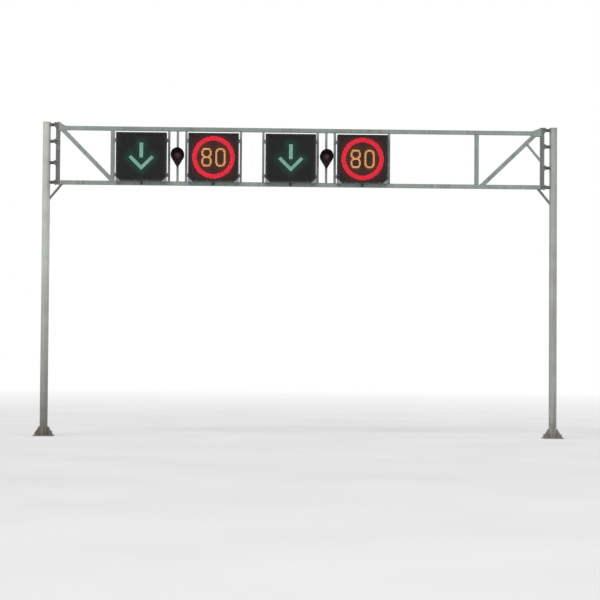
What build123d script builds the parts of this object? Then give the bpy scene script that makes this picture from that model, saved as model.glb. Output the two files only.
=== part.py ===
from build123d import *
import math
import os
from typing import NamedTuple

# Sign gantry over a two-lane carriageway: two round posts carry one flat welded frame of
# square tube, with four lit sign cabinets and two round signal lamps on its front.
# Millimetres. X runs along the span, Z is up, and traffic comes from the -Y side.
# The origin is the centre of the underside of the left base plate.

# Posts and feet
post_spacing = 11000.0
post_diameter = 168.3
post_wall = 8.0
post_rise = 79.0  # top of the cap above the top chord's upper face
cap_thickness = 8.0
cap_overhang = 4.0
cap_chamfer = 2.0
base_side = 420.0
base_thickness = 25.0
base_corner = 20.0
anchor_spacing = 320.0
anchor_hole_radius = 15.0
stiffener_height = 180.0
stiffener_thickness = 12.0
stiffener_nose = 22.0
stiffener_margin = 14.0
weld_gap = 0.3

# Welded frame
top_chord_height = 6640.0
truss_depth = 1178.0
frame_tube = 90.0
frame_wall = 4.0
frame_corner = 8.0
frame_offset = 245.0  # post axis to the axis of the end upright
left_bay = 1423.0  # post axis to the axis of the panel upright
right_bay = 1680.0
upright_rise = 79.0
head_plate = 6.0
strut_tube = 50.0
strut_wall = 4.0
strut_corner = 6.0
strut_head_drop = 175.0  # below the underside of the top chord
strut_foot_drop = 543.0
left_diagonal_head_shift = 64.0  # along the chord into the bay, from the bay's corner
left_diagonal_foot_shift = -45.0
right_diagonal_head_shift = 122.0
right_diagonal_foot_shift = 92.0
gusset_thickness = 8.0
gusset_reach = 64.0  # along the chord, past the head of the diagonal's axis
gusset_rise = 64.0  # above the top chord's upper face, on the end upright
gusset_drop = 20.0  # below the top chord's underside
gusset_lap = 24.0  # onto the end upright

# Brackets between the posts and the frame
flange_width = 190.0
flange_height = 100.0
flange_thickness = 10.0
flange_edge = 5.0
shelf_width = 120.0
shelf_thickness = 12.0
web_height = 70.0
web_thickness = 10.0
second_bracket_drop = 290.0  # below the top chord's axis
third_bracket_rise = 425.0  # above the bottom chord's axis
knee_head_reach = 35.0  # along the chord from the end upright's inner face
knee_foot_drop = 293.0

# Sign cabinets
sign_width = 1090.0
sign_height = 1045.0
sign_depth = 200.0
sign_rear_gap = 8.0
sign_side_gap = 36.0  # first cabinet to the left panel upright
sign_lap = 15.0  # cabinet's underside below the bottom chord's upper face
lamp_gap = 461.0  # clear width between two cabinets that flank a lamp
pair_gap = 576.0  # clear width between the two pairs of cabinets
sign_corner = 8.0
bezel_width = 34.0
bezel_depth = 12.0
face_thickness = 5.0
face_clearance = 1.0
hood_reach = 22.0
hood_thickness = 4.0
door_margin = 80.0
door_thickness = 4.0
rail_width = 50.0
rail_offset = 45.0  # cabinet's side to the axis of the rail beside it
rail_corner = 6.0

# Cabinet brackets and conduits
plate_thickness = 6.0
cradle_width = 104.0
cradle_lip = 92.0
cradle_flange = 48.0
cradle_overhang = 4.0
lug_reach = 68.0
lug_grip = 80.0
lug_height = 80.0
lug_inset = 150.0
conduit_radius = 14.0
conduit_bend = 30.0
conduit_drop = 48.0  # from the cabinet's underside to the axis of the level run
conduit_forward = 140.0
gland_radius = 22.0
gland_length = 18.0

# Signal lamps
lamp_height = 6068.0
lamp_radius = 145.0
lamp_depth = 100.0
lamp_tail = 250.0
lamp_tail_radius = 15.0
lamp_back_chamfer = 8.0
lamp_standoff = 40.0
lamp_bracket_width = 60.0
lamp_bracket_height = 170.0
lamp_bracket_plate = 5.0
lens_radius = 100.0
lens_seat = 12.0
lens_bulge = 16.0
lens_rim = 6.0
visor_radius = 145.0
visor_wall = 4.0
visor_length = 170.0
visor_opening = 80.0  # angle of the gap at the bottom
visor_rake = 20.0  # lean of the visor's front edge

# Levels and faces that several pieces share
post_radius = post_diameter / 2
half_tube = frame_tube / 2
bottom_chord_height = top_chord_height - truss_depth
chord_underside = top_chord_height - half_tube
chord_upperside = bottom_chord_height + half_tube
frame_foot = bottom_chord_height - half_tube
upright_top = top_chord_height + half_tube + upright_rise
post_top = top_chord_height + half_tube + post_rise
outer_reach = frame_offset - half_tube
inner_reach = frame_offset + half_tube
sign_back = half_tube + sign_rear_gap
sign_front = sign_back + sign_depth
sign_bottom = chord_upperside - sign_lap
sign_middle = sign_bottom + sign_height / 2
lamp_back = half_tube + lamp_standoff
lamp_front = lamp_back + lamp_depth

# Where the cabinets, their rails and the lamps stand along the span
first_edge = left_bay + half_tube + sign_side_gap
second_edge = first_edge + sign_width + lamp_gap
third_edge = second_edge + sign_width + pair_gap
fourth_edge = third_edge + sign_width + lamp_gap
sign_edges = {
    "arrow_sign_1": first_edge,
    "speed_sign_1": second_edge,
    "arrow_sign_2": third_edge,
    "speed_sign_2": fourth_edge,
}
rail_places = [first_edge + sign_width + rail_offset]
for edge in (second_edge, third_edge, fourth_edge):
    rail_places.append(edge - rail_offset)
    rail_places.append(edge + sign_width + rail_offset)
lamp_places = (second_edge - lamp_gap / 2, fourth_edge - lamp_gap / 2)


class End(NamedTuple):
    """One end of the gantry: its post, its bay and how its diagonal is set in the bay."""

    side: str
    post_x: float
    inward: int
    bay: float
    head_shift: float
    foot_shift: float

    def x(self, reach):
        """X of a point that lies `reach` from the post's axis, towards the frame."""
        return self.post_x + self.inward * reach

    def diagonal_head(self):
        """Where the diagonal's axis meets the underside of the top chord."""
        return self.x(inner_reach + self.head_shift), chord_underside

    def diagonal_foot(self):
        """Where the diagonal's axis meets the upper face of the bottom chord."""
        return self.x(self.bay - half_tube - self.foot_shift), chord_upperside


left_end = End(
    "left",
    0.0,
    1,
    left_bay,
    left_diagonal_head_shift,
    left_diagonal_foot_shift,
)
right_end = End(
    "right",
    post_spacing,
    -1,
    right_bay,
    right_diagonal_head_shift,
    right_diagonal_foot_shift,
)


def save(piece, label):
    """Name a finished piece and write its STEP file."""
    piece.part.label = label
    export_step(piece.part, f"parts/{label}.step")


def tube_section(width, depth, corner, wall):
    """Hollow section with rounded corners, in the sketch that is open."""
    RectangleRounded(width, depth, corner)
    RectangleRounded(width - 2 * wall, depth - 2 * wall, corner - wall, mode=Mode.SUBTRACT)


def frame_section():
    """Section of the frame's chords, uprights and diagonals."""
    tube_section(frame_tube, frame_tube, frame_corner, frame_wall)


def member_plane(start, finish):
    """Plane across a slanted member at its start, with its normal along the member."""
    run = (finish[0] - start[0], 0, finish[1] - start[1])
    return Plane(origin=(start[0], 0, start[1]), x_dir=(0, 1, 0), z_dir=run)


def bay_block(end):
    """Keep only what lies between the end upright, the panel upright and the chords."""
    width = end.bay - frame_offset - frame_tube
    middle = end.x(inner_reach + width / 2)
    with BuildSketch(Plane.XZ) as block:
        with Locations((middle, (chord_upperside + chord_underside) / 2)):
            Rectangle(width, chord_underside - chord_upperside)
    extrude(block.sketch, amount=half_tube, both=True, mode=Mode.INTERSECT)


# Posts, caps and feet


def make_post(end):
    """Round tube from the base plate to the cap."""
    with BuildPart() as post:
        with BuildSketch(Plane.XY.offset(base_thickness)):
            with Locations((end.post_x, 0)):
                Circle(post_radius)
                Circle(post_radius - post_wall, mode=Mode.SUBTRACT)
        extrude(amount=post_top - cap_thickness - base_thickness)
    save(post, f"{end.side}_post")


def make_post_cap(end):
    """Flat disc that closes the top of the post."""
    with BuildPart() as cap:
        with BuildSketch(Plane.XY.offset(post_top - cap_thickness)):
            with Locations((end.post_x, 0)):
                Circle(post_radius + cap_overhang)
        extrude(amount=cap_thickness)
        chamfer(cap.edges().group_by(Axis.Z)[-1], length=cap_chamfer)
    save(cap, f"{end.side}_post_cap")


def make_base_plate(end):
    """Square foot with four anchor holes."""
    with BuildPart() as plate:
        with BuildSketch(Plane.XY):
            with Locations((end.post_x, 0)):
                RectangleRounded(base_side, base_side, base_corner)
                with GridLocations(anchor_spacing, anchor_spacing, 2, 2):
                    Circle(anchor_hole_radius, mode=Mode.SUBTRACT)
        extrude(amount=base_thickness)
    save(plate, f"{end.side}_base_plate")


def make_base_stiffeners(end):
    """Four upright triangular plates between the post and its base plate."""
    root = post_radius + weld_gap
    toe = base_side / 2 - stiffener_margin
    foot = base_thickness
    head = base_thickness + stiffener_height
    with BuildPart() as stiffeners:
        for quarter in range(4):
            turn = 90.0 * quarter
            out = Vector(1, 0, 0).rotate(Axis.Z, turn)
            blade = Plane(origin=(end.post_x, 0, 0), x_dir=out, z_dir=out.rotate(Axis.Z, -90))
            with BuildSketch(blade):
                with BuildLine():
                    Polyline(
                        (root, foot),
                        (toe, foot),
                        (toe, foot + stiffener_nose),
                        (root + stiffener_nose, head),
                        (root, head),
                        close=True,
                    )
                make_face()
            extrude(amount=stiffener_thickness / 2, both=True)
    save(stiffeners, f"{end.side}_base_stiffeners")


# Frame


def make_chord(height, label):
    """Square tube from one end upright to the other."""
    start = inner_reach
    length = post_spacing - 2 * inner_reach
    with BuildPart() as chord:
        with BuildSketch(Plane.YZ.offset(start)):
            with Locations((0, height)):
                frame_section()
        extrude(amount=length)
    save(chord, label)


def make_end_upright(end):
    """Upright beside the post, closed by a plate at its head and open at its foot."""
    with BuildPart() as upright:
        with BuildSketch(Plane.XY.offset(frame_foot)):
            with Locations((end.x(frame_offset), 0)):
                frame_section()
        extrude(amount=upright_top - head_plate - frame_foot)
        with BuildSketch(Plane.XY.offset(upright_top - head_plate)):
            with Locations((end.x(frame_offset), 0)):
                RectangleRounded(frame_tube, frame_tube, frame_corner)
        extrude(amount=head_plate)
    save(upright, f"{end.side}_end_upright")


def make_panel_upright(end):
    """Upright between the chords at the inner side of the end bay."""
    with BuildPart() as upright:
        with BuildSketch(Plane.XY.offset(chord_upperside)):
            with Locations((end.x(end.bay), 0)):
                frame_section()
        extrude(amount=chord_underside - chord_upperside)
    save(upright, f"{end.side}_panel_upright")


def make_diagonal(end):
    """Diagonal of the end bay, mitred to the faces that it meets."""
    head = end.diagonal_head()
    foot = end.diagonal_foot()
    length = math.dist(head, foot)
    with BuildPart() as diagonal:
        with BuildSketch(member_plane(head, foot).offset(-frame_tube)):
            frame_section()
        extrude(amount=length + 2 * frame_tube)
        bay_block(end)
    save(diagonal, f"{end.side}_diagonal")


def make_end_strut(end):
    """Short strut from the end upright up to the underside of the diagonal."""
    head = end.diagonal_head()
    foot = end.diagonal_foot()
    share = strut_head_drop / (chord_underside - chord_upperside)
    strut_head = (head[0] + share * (foot[0] - head[0]), chord_underside - strut_head_drop)
    strut_foot = (end.x(inner_reach), chord_underside - strut_foot_drop)
    length = math.dist(strut_head, strut_foot)
    with BuildPart() as strut:
        with BuildSketch(member_plane(strut_head, strut_foot)):
            tube_section(strut_tube, strut_tube, strut_corner, strut_wall)
        extrude(amount=length + strut_tube)
        bay_block(end)
        with BuildSketch(member_plane(head, foot).offset(-frame_tube)):
            RectangleRounded(frame_tube, frame_tube, frame_corner)
        extrude(amount=math.dist(head, foot) + 2 * frame_tube, mode=Mode.SUBTRACT)
    save(strut, f"{end.side}_end_strut")


def make_corner_gussets():
    """Plates on both faces of the frame at the top corners, sloped down to the chord."""
    head = chord_underside + frame_tube + gusset_rise
    toe = chord_underside + frame_tube - frame_corner
    foot = chord_underside - gusset_drop
    with BuildPart() as gussets:
        for end in (left_end, right_end):
            reach = end.head_shift + gusset_reach
            for face in (half_tube, -half_tube - gusset_thickness):
                with BuildSketch(Plane.XZ.offset(face)):
                    with BuildLine():
                        Polyline(
                            (end.x(inner_reach - gusset_lap), head),
                            (end.x(inner_reach), head),
                            (end.x(inner_reach + reach), toe),
                            (end.x(inner_reach + reach), foot),
                            (end.x(inner_reach - gusset_lap), foot),
                            close=True,
                        )
                    make_face()
                extrude(amount=gusset_thickness)
    save(gussets, "corner_gussets")


def bracket_levels():
    """Heights of the four joints between a post and the frame."""
    return (
        upright_top - flange_edge - flange_height / 2,
        top_chord_height - second_bracket_drop,
        bottom_chord_height + third_bracket_rise,
        bottom_chord_height,
    )


def make_post_brackets(end):
    """Four welded arms on the post, each with a shelf, a web and an end flange."""
    flange_reach = outer_reach - flange_thickness
    arm_reach = flange_reach - flange_thickness
    with BuildPart() as brackets:
        for level in bracket_levels():
            with BuildSketch(Plane.XY.offset(level - shelf_thickness / 2)):
                with Locations((end.x(arm_reach / 2), 0)):
                    Rectangle(arm_reach, shelf_width)
            extrude(amount=shelf_thickness)
            with BuildSketch(Plane.XZ):
                with Locations((end.x(arm_reach / 2), level)):
                    Rectangle(arm_reach, web_height)
            extrude(amount=web_thickness / 2, both=True)
            with BuildSketch(Plane.YZ.offset(end.x(arm_reach))):
                with Locations((0, level)):
                    Rectangle(flange_width, flange_height)
            extrude(amount=end.inward * flange_thickness)
        with BuildSketch(Plane.XY):
            with Locations((end.post_x, 0)):
                Circle(post_radius + weld_gap)
        extrude(amount=post_top, mode=Mode.SUBTRACT)
    save(brackets, f"{end.side}_post_brackets")


def make_frame_flanges(end):
    """Four plates on the end upright that bolt to the flanges of the post's arms."""
    with BuildPart() as flanges:
        for level in bracket_levels():
            with BuildSketch(Plane.YZ.offset(end.x(outer_reach - flange_thickness))):
                with Locations((0, level)):
                    Rectangle(flange_width, flange_height)
            extrude(amount=end.inward * flange_thickness)
    save(flanges, f"{end.side}_frame_flanges")


def make_knee_brace(end):
    """Slanted tube from the bottom chord's underside to the post."""
    head = (end.x(inner_reach + knee_head_reach), frame_foot)
    foot = (end.x(post_radius), frame_foot - knee_foot_drop)
    length = math.dist(head, foot)
    with BuildPart() as brace:
        with BuildSketch(member_plane(head, foot).offset(-strut_tube)):
            tube_section(strut_tube, strut_tube, strut_corner, strut_wall)
        extrude(amount=length + 2 * strut_tube)
        with BuildSketch(Plane.XY.offset(frame_foot)):
            with Locations(head[:1] + (0,)):
                Rectangle(4 * strut_tube, 2 * strut_tube)
        extrude(amount=2 * strut_tube, mode=Mode.SUBTRACT)
        with BuildSketch(Plane.XY):
            with Locations((end.post_x, 0)):
                Circle(post_radius + weld_gap)
        extrude(amount=post_top, mode=Mode.SUBTRACT)
    save(brace, f"{end.side}_knee_brace")


# Rails that carry the cabinets and the lamps


def make_rails(places, label):
    """Upright rectangular tubes between the chords, flush with the frame's faces."""
    with BuildPart() as rails:
        with BuildSketch(Plane.XY.offset(chord_upperside)):
            with Locations([(place, 0) for place in places]):
                tube_section(rail_width, frame_tube, rail_corner, frame_wall)
        extrude(amount=chord_underside - chord_upperside)
    save(rails, label)


# Sign cabinets


def make_sign_housing(name, edge):
    """Closed cabinet with a sunk front, a rain hood and a raised rear door."""
    middle = (edge + sign_width / 2, sign_middle)
    with BuildPart() as housing:
        with BuildSketch(Plane.XZ.offset(sign_back)):
            with Locations(middle):
                RectangleRounded(sign_width, sign_height, sign_corner)
        extrude(amount=sign_depth)
        with BuildSketch(Plane.XZ.offset(sign_front)):
            with Locations(middle):
                Rectangle(sign_width - 2 * bezel_width, sign_height - 2 * bezel_width)
        extrude(amount=-bezel_depth, mode=Mode.SUBTRACT)
        with BuildSketch(Plane.XZ.offset(sign_front)):
            with Locations((middle[0], sign_bottom + sign_height - hood_thickness / 2)):
                Rectangle(sign_width - 2 * sign_corner, hood_thickness)
        extrude(amount=hood_reach)
        with BuildSketch(Plane.XZ.offset(sign_back)):
            with Locations(middle):
                Rectangle(sign_width - 2 * door_margin, sign_height - 2 * door_margin)
        extrude(amount=-door_thickness)
    save(housing, f"{name}_housing")


def make_sign_face(name, edge):
    """Flat display panel that lies in the sunk front of the cabinet."""
    inset = bezel_width + face_clearance
    with BuildPart() as face:
        with BuildSketch(Plane.XZ.offset(sign_front - bezel_depth)):
            with Locations((edge + sign_width / 2, sign_middle)):
                Rectangle(sign_width - 2 * inset, sign_height - 2 * inset)
        extrude(amount=face_thickness)
    save(face, f"{name}_face")


def make_sign_brackets(name, edge):
    """Two cradles under the cabinet's front corners and four lugs on its sides."""
    outer = edge - cradle_overhang
    shelf_top = sign_bottom
    lug_levels = (sign_bottom + lug_inset, sign_bottom + sign_height - lug_inset)
    with BuildPart() as brackets:
        with BuildSketch(Plane.XY.offset(shelf_top - plate_thickness)):
            with Locations((outer + cradle_width / 2, -(half_tube + sign_front + plate_thickness) / 2)):
                Rectangle(cradle_width, sign_front + plate_thickness - half_tube)
        extrude(amount=plate_thickness)
        with BuildSketch(Plane.XZ.offset(sign_front)):
            with BuildLine():
                Polyline(
                    (outer, shelf_top - plate_thickness),
                    (outer + cradle_width, shelf_top - plate_thickness),
                    (outer + cradle_width, shelf_top),
                    (outer, shelf_top + cradle_lip),
                    close=True,
                )
            make_face()
        extrude(amount=plate_thickness)
        with BuildSketch(Plane.XZ.offset(half_tube)):
            with Locations((outer + cradle_width / 2, shelf_top - cradle_flange / 2)):
                Rectangle(cradle_width, cradle_flange)
        extrude(amount=plate_thickness)
        for level in lug_levels:
            with BuildSketch(Plane.XY.offset(level - lug_height / 2)):
                with BuildLine():
                    Polyline(
                        (edge, -half_tube),
                        (edge - lug_reach, -half_tube),
                        (edge - lug_reach, -half_tube - plate_thickness),
                        (edge - plate_thickness, -half_tube - plate_thickness),
                        (edge - plate_thickness, -sign_back - lug_grip),
                        (edge, -sign_back - lug_grip),
                        close=True,
                    )
                make_face()
            extrude(amount=lug_height)
        mirror(about=Plane.YZ.offset(edge + sign_width / 2))
    save(brackets, f"{name}_brackets")


def make_sign_conduits():
    """Short elbows for the cables, from below each cabinet into the bottom chord's front."""
    low = sign_bottom - conduit_drop
    with BuildPart() as conduits:
        for edge in sign_edges.values():
            middle = edge + sign_width / 2
            with BuildLine(Plane.YZ.offset(middle)) as route:
                FilletPolyline(
                    (-conduit_forward, sign_bottom),
                    (-conduit_forward, low),
                    (-half_tube, low),
                    radius=conduit_bend,
                )
            with BuildSketch(Plane(origin=route.line @ 0, z_dir=route.line % 0)):
                Circle(conduit_radius)
            sweep(path=route.line)
            with BuildSketch(Plane.XY.offset(sign_bottom)):
                with Locations((middle, -conduit_forward)):
                    RegularPolygon(gland_radius, 6)
            extrude(amount=-gland_length)
            with BuildSketch(Plane.XZ.offset(half_tube)):
                with Locations((middle, low)):
                    RegularPolygon(gland_radius, 6)
            extrude(amount=gland_length)
    save(conduits, "sign_conduits")


# Signal lamps


def make_lamp_brackets():
    """Channels that hold each lamp head off the front of its upright."""
    low = lamp_height - lamp_bracket_height / 2
    with BuildPart() as brackets:
        with BuildSketch(Plane.XY.offset(low)):
            with Locations([(place, -half_tube - lamp_standoff / 2) for place in lamp_places]):
                Rectangle(lamp_bracket_width, lamp_standoff)
            with Locations([(place, -half_tube - lamp_bracket_plate) for place in lamp_places]):
                Rectangle(
                    lamp_bracket_width - 2 * lamp_bracket_plate,
                    lamp_standoff - lamp_bracket_plate,
                    align=(Align.CENTER, Align.MAX),
                    mode=Mode.SUBTRACT,
                )
        extrude(amount=lamp_bracket_height)
    save(brackets, "lamp_brackets")


def make_lamp_heads():
    """Round lamp bodies that taper to a point below, with a round seat for the lens."""
    with BuildPart() as heads:
        for place in lamp_places:
            with BuildSketch(Plane.XZ.offset(lamp_back)):
                with Locations((place, lamp_height)):
                    Circle(lamp_radius)
                with Locations((place, lamp_height - lamp_tail)):
                    Circle(lamp_tail_radius)
                make_hull()
            extrude(amount=lamp_depth)
        chamfer(heads.faces().sort_by(Axis.Y)[-2:].edges(), length=lamp_back_chamfer)
        with BuildSketch(Plane.XZ.offset(lamp_front)):
            with Locations([(place, lamp_height) for place in lamp_places]):
                Circle(lens_radius)
        extrude(amount=-lens_seat, mode=Mode.SUBTRACT)
    save(heads, "lamp_heads")


def make_lamp_lenses():
    """Domed lenses in the seats of the lamp heads."""
    seat = -(lamp_front - lens_seat)
    rim = seat - lens_rim
    radius = lens_radius - face_clearance
    dome = (radius**2 + lens_bulge**2) / (2 * lens_bulge)
    with BuildPart() as lenses:
        for place in lamp_places:
            with BuildSketch(Plane.YZ.offset(place)):
                with BuildLine():
                    Polyline(
                        (rim - lens_bulge, lamp_height),
                        (seat, lamp_height),
                        (seat, lamp_height + radius),
                        (rim, lamp_height + radius),
                    )
                    RadiusArc((rim, lamp_height + radius), (rim - lens_bulge, lamp_height), -dome)
                make_face()
            revolve(axis=Axis((place, 0, lamp_height), (0, 1, 0)))
    save(lenses, "lamp_lenses")


def make_lamp_visors():
    """Round hoods around the lenses, open below and longer at the top."""
    half_gap = math.radians(visor_opening / 2)
    far = 2 * visor_radius
    with BuildPart() as visors:
        for place in lamp_places:
            with BuildSketch(Plane.XZ.offset(lamp_front)):
                with Locations((place, lamp_height)):
                    Circle(visor_radius)
                    Circle(visor_radius - visor_wall, mode=Mode.SUBTRACT)
                with BuildLine():
                    Polyline(
                        (place, lamp_height),
                        (place - far * math.sin(half_gap), lamp_height - far * math.cos(half_gap)),
                        (place + far * math.sin(half_gap), lamp_height - far * math.cos(half_gap)),
                        close=True,
                    )
                make_face(mode=Mode.SUBTRACT)
            extrude(amount=visor_length)
        rake = Plane(
            origin=(0, -lamp_front - visor_length, lamp_height + visor_radius),
            x_dir=(1, 0, 0),
            z_dir=(0, -1, -math.tan(math.radians(visor_rake))),
        )
        split(bisect_by=rake, keep=Keep.BOTTOM)
    save(visors, "lamp_visors")


os.makedirs("parts", exist_ok=True)

for gantry_end in (left_end, right_end):
    make_post(gantry_end)
    make_post_cap(gantry_end)
    make_base_plate(gantry_end)
    make_base_stiffeners(gantry_end)
    make_post_brackets(gantry_end)
    make_knee_brace(gantry_end)
    make_end_upright(gantry_end)
    make_frame_flanges(gantry_end)
    make_panel_upright(gantry_end)
    make_diagonal(gantry_end)
make_end_strut(right_end)

make_chord(top_chord_height, "top_chord")
make_chord(bottom_chord_height, "bottom_chord")
make_corner_gussets()
make_rails(rail_places, "sign_rails")

for sign_name, sign_edge in sign_edges.items():
    make_sign_housing(sign_name, sign_edge)
    make_sign_face(sign_name, sign_edge)
    make_sign_brackets(sign_name, sign_edge)
make_sign_conduits()

make_rails(lamp_places, "lamp_uprights")
make_lamp_brackets()
make_lamp_heads()
make_lamp_lenses()
make_lamp_visors()
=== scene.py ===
"""Dresses the sign gantry: finishes, lit displays, fasteners, weld beads, lamps, floor, light and camera.

Metres, in the frame's own axes: X runs along the span, Z is up, and traffic comes from the -Y side.
"""

import logging
import math
from dataclasses import dataclass, replace
from enum import Enum
from typing import Any, Iterable, Iterator, Sequence

import bmesh
import bpy
from mathutils import Matrix, Vector


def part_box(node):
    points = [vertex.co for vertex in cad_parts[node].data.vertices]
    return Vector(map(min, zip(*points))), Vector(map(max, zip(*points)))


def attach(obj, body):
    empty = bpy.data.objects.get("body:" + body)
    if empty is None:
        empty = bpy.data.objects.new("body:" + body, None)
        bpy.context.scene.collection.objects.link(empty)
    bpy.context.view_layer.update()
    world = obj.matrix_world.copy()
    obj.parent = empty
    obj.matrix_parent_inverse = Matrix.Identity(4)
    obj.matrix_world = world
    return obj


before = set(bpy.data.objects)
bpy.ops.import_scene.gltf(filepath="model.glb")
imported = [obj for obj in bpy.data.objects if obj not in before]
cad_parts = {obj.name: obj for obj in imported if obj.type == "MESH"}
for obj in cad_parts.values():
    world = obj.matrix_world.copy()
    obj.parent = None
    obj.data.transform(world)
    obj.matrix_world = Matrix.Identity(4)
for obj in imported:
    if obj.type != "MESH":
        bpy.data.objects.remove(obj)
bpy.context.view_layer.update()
log = logging.getLogger("sign_gantry")

Colour = tuple[float, float, float]
Point = tuple[float, float, float]
Place = tuple[float, float]
Grain = tuple[float, float]
Mark = tuple[Point, Point]
Run = tuple[Sequence[Point], bool]
Socket = bpy.types.NodeSocket
Amount = Socket | float
Tree = bpy.types.NodeTree
Material = bpy.types.Material
Mesh = bpy.types.Mesh
Piece = bpy.types.Object

BODY = "root"
DIGITS = 4
SPILL = "spill"
FACING = "facing"
WAYS = (-1, 1)
UP: Point = (0.0, 0.0, 1.0)
TO_TRAFFIC: Point = (0.0, -1.0, 0.0)
TO_REAR: Point = (0.0, 1.0, 0.0)
NOISE_SPAN: Place = (0.3, 0.7)
LOOKS_UP: Place = (0.55, 0.95)
LOOKS_DOWN: Place = (-0.55, -0.95)
WHITE = (1.0, 1.0, 1.0, 1.0)
GRIME: Colour = (0.085, 0.085, 0.075)
SOIL: Colour = (0.17, 0.145, 0.115)
DUST: Colour = (0.24, 0.235, 0.215)
RUST: Colour = (0.20, 0.085, 0.035)
CHALK: Colour = (0.47, 0.49, 0.47)
FADED: Colour = (0.10, 0.10, 0.095)


class Slot(Enum):
    """The record's material slots."""

    POST = "galvanised_post"
    FRAME = "galvanised_frame"
    BRACKET = "zinc_brackets"
    CABINET = "cabinet_black"
    DISPLAY = "display_black"
    LAMP = "lamp_black"


class Tint(Enum):
    """Colours that a display can light, as linear light: of a lens, of the glow round it, and its reach."""

    GREEN = ((0.145, 0.275, 0.232), (0.005, 0.48, 0.29), 0.095)
    RED = ((0.56, 0.008, 0.026), (0.72, 0.01, 0.02), 0.125)
    AMBER = ((0.52, 0.24, 0.09), (0.62, 0.17, 0.005), 0.095)

    @property
    def core(self) -> Colour:
        """Colour of a lit lens."""
        return self.value[0]

    @property
    def halo(self) -> Colour:
        """Colour of the light that falls round it."""
        return self.value[1]

    @property
    def reach(self) -> float:
        """Distance at which that light has faded to about a third."""
        return self.value[2]


class Wiring:
    """Adds nodes to one tree and joins them."""

    def __init__(self, tree: Tree) -> None:
        """Keep the tree that the nodes go into."""
        self.tree = tree

    def node(self, kind: str, inputs: dict[Any, Any] | None = None, **settings: Any) -> bpy.types.Node:
        """Add one node.

        Args:
            kind: Blender's name for the type of node.
            inputs: Input sockets by name or number, each with a socket to link or a value.
            settings: The node's own options.

        Returns:
            The new node.
        """
        made = self.tree.nodes.new(kind)
        for name, value in settings.items():
            setattr(made, name, value)
        for key, value in (inputs or {}).items():
            if isinstance(value, Socket):
                self.tree.links.new(value, made.inputs[key])
            else:
                made.inputs[key].default_value = value
        return made

    def maths(self, operation: str, first: Amount, second: Amount) -> Socket:
        """One step of arithmetic on two values."""
        return self.node("ShaderNodeMath", {0: first, 1: second}, operation=operation).outputs[0]

    def product(self, first: Amount, second: Amount) -> Socket:
        """Two values multiplied."""
        return self.maths("MULTIPLY", first, second)

    def total(self, first: Amount, second: Amount) -> Socket:
        """Two values added."""
        return self.maths("ADD", first, second)

    def seen_directly(self) -> Socket:
        """Tell the rays that look at a surface from those that carry light.

        Returns:
            1 for camera, glossy and transmission rays, 0 for the others.
        """
        rays = self.node("ShaderNodeLightPath").outputs
        some = self.maths("MAXIMUM", rays["Is Camera Ray"], rays["Is Glossy Ray"])
        return self.maths("MAXIMUM", some, rays["Is Transmission Ray"])


@dataclass(frozen=True)
class Patches:
    """A noise that marks a surface, and the values at which its marks start and are full."""

    scale: float | Point
    detail: float
    starts: float
    full: float


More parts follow.
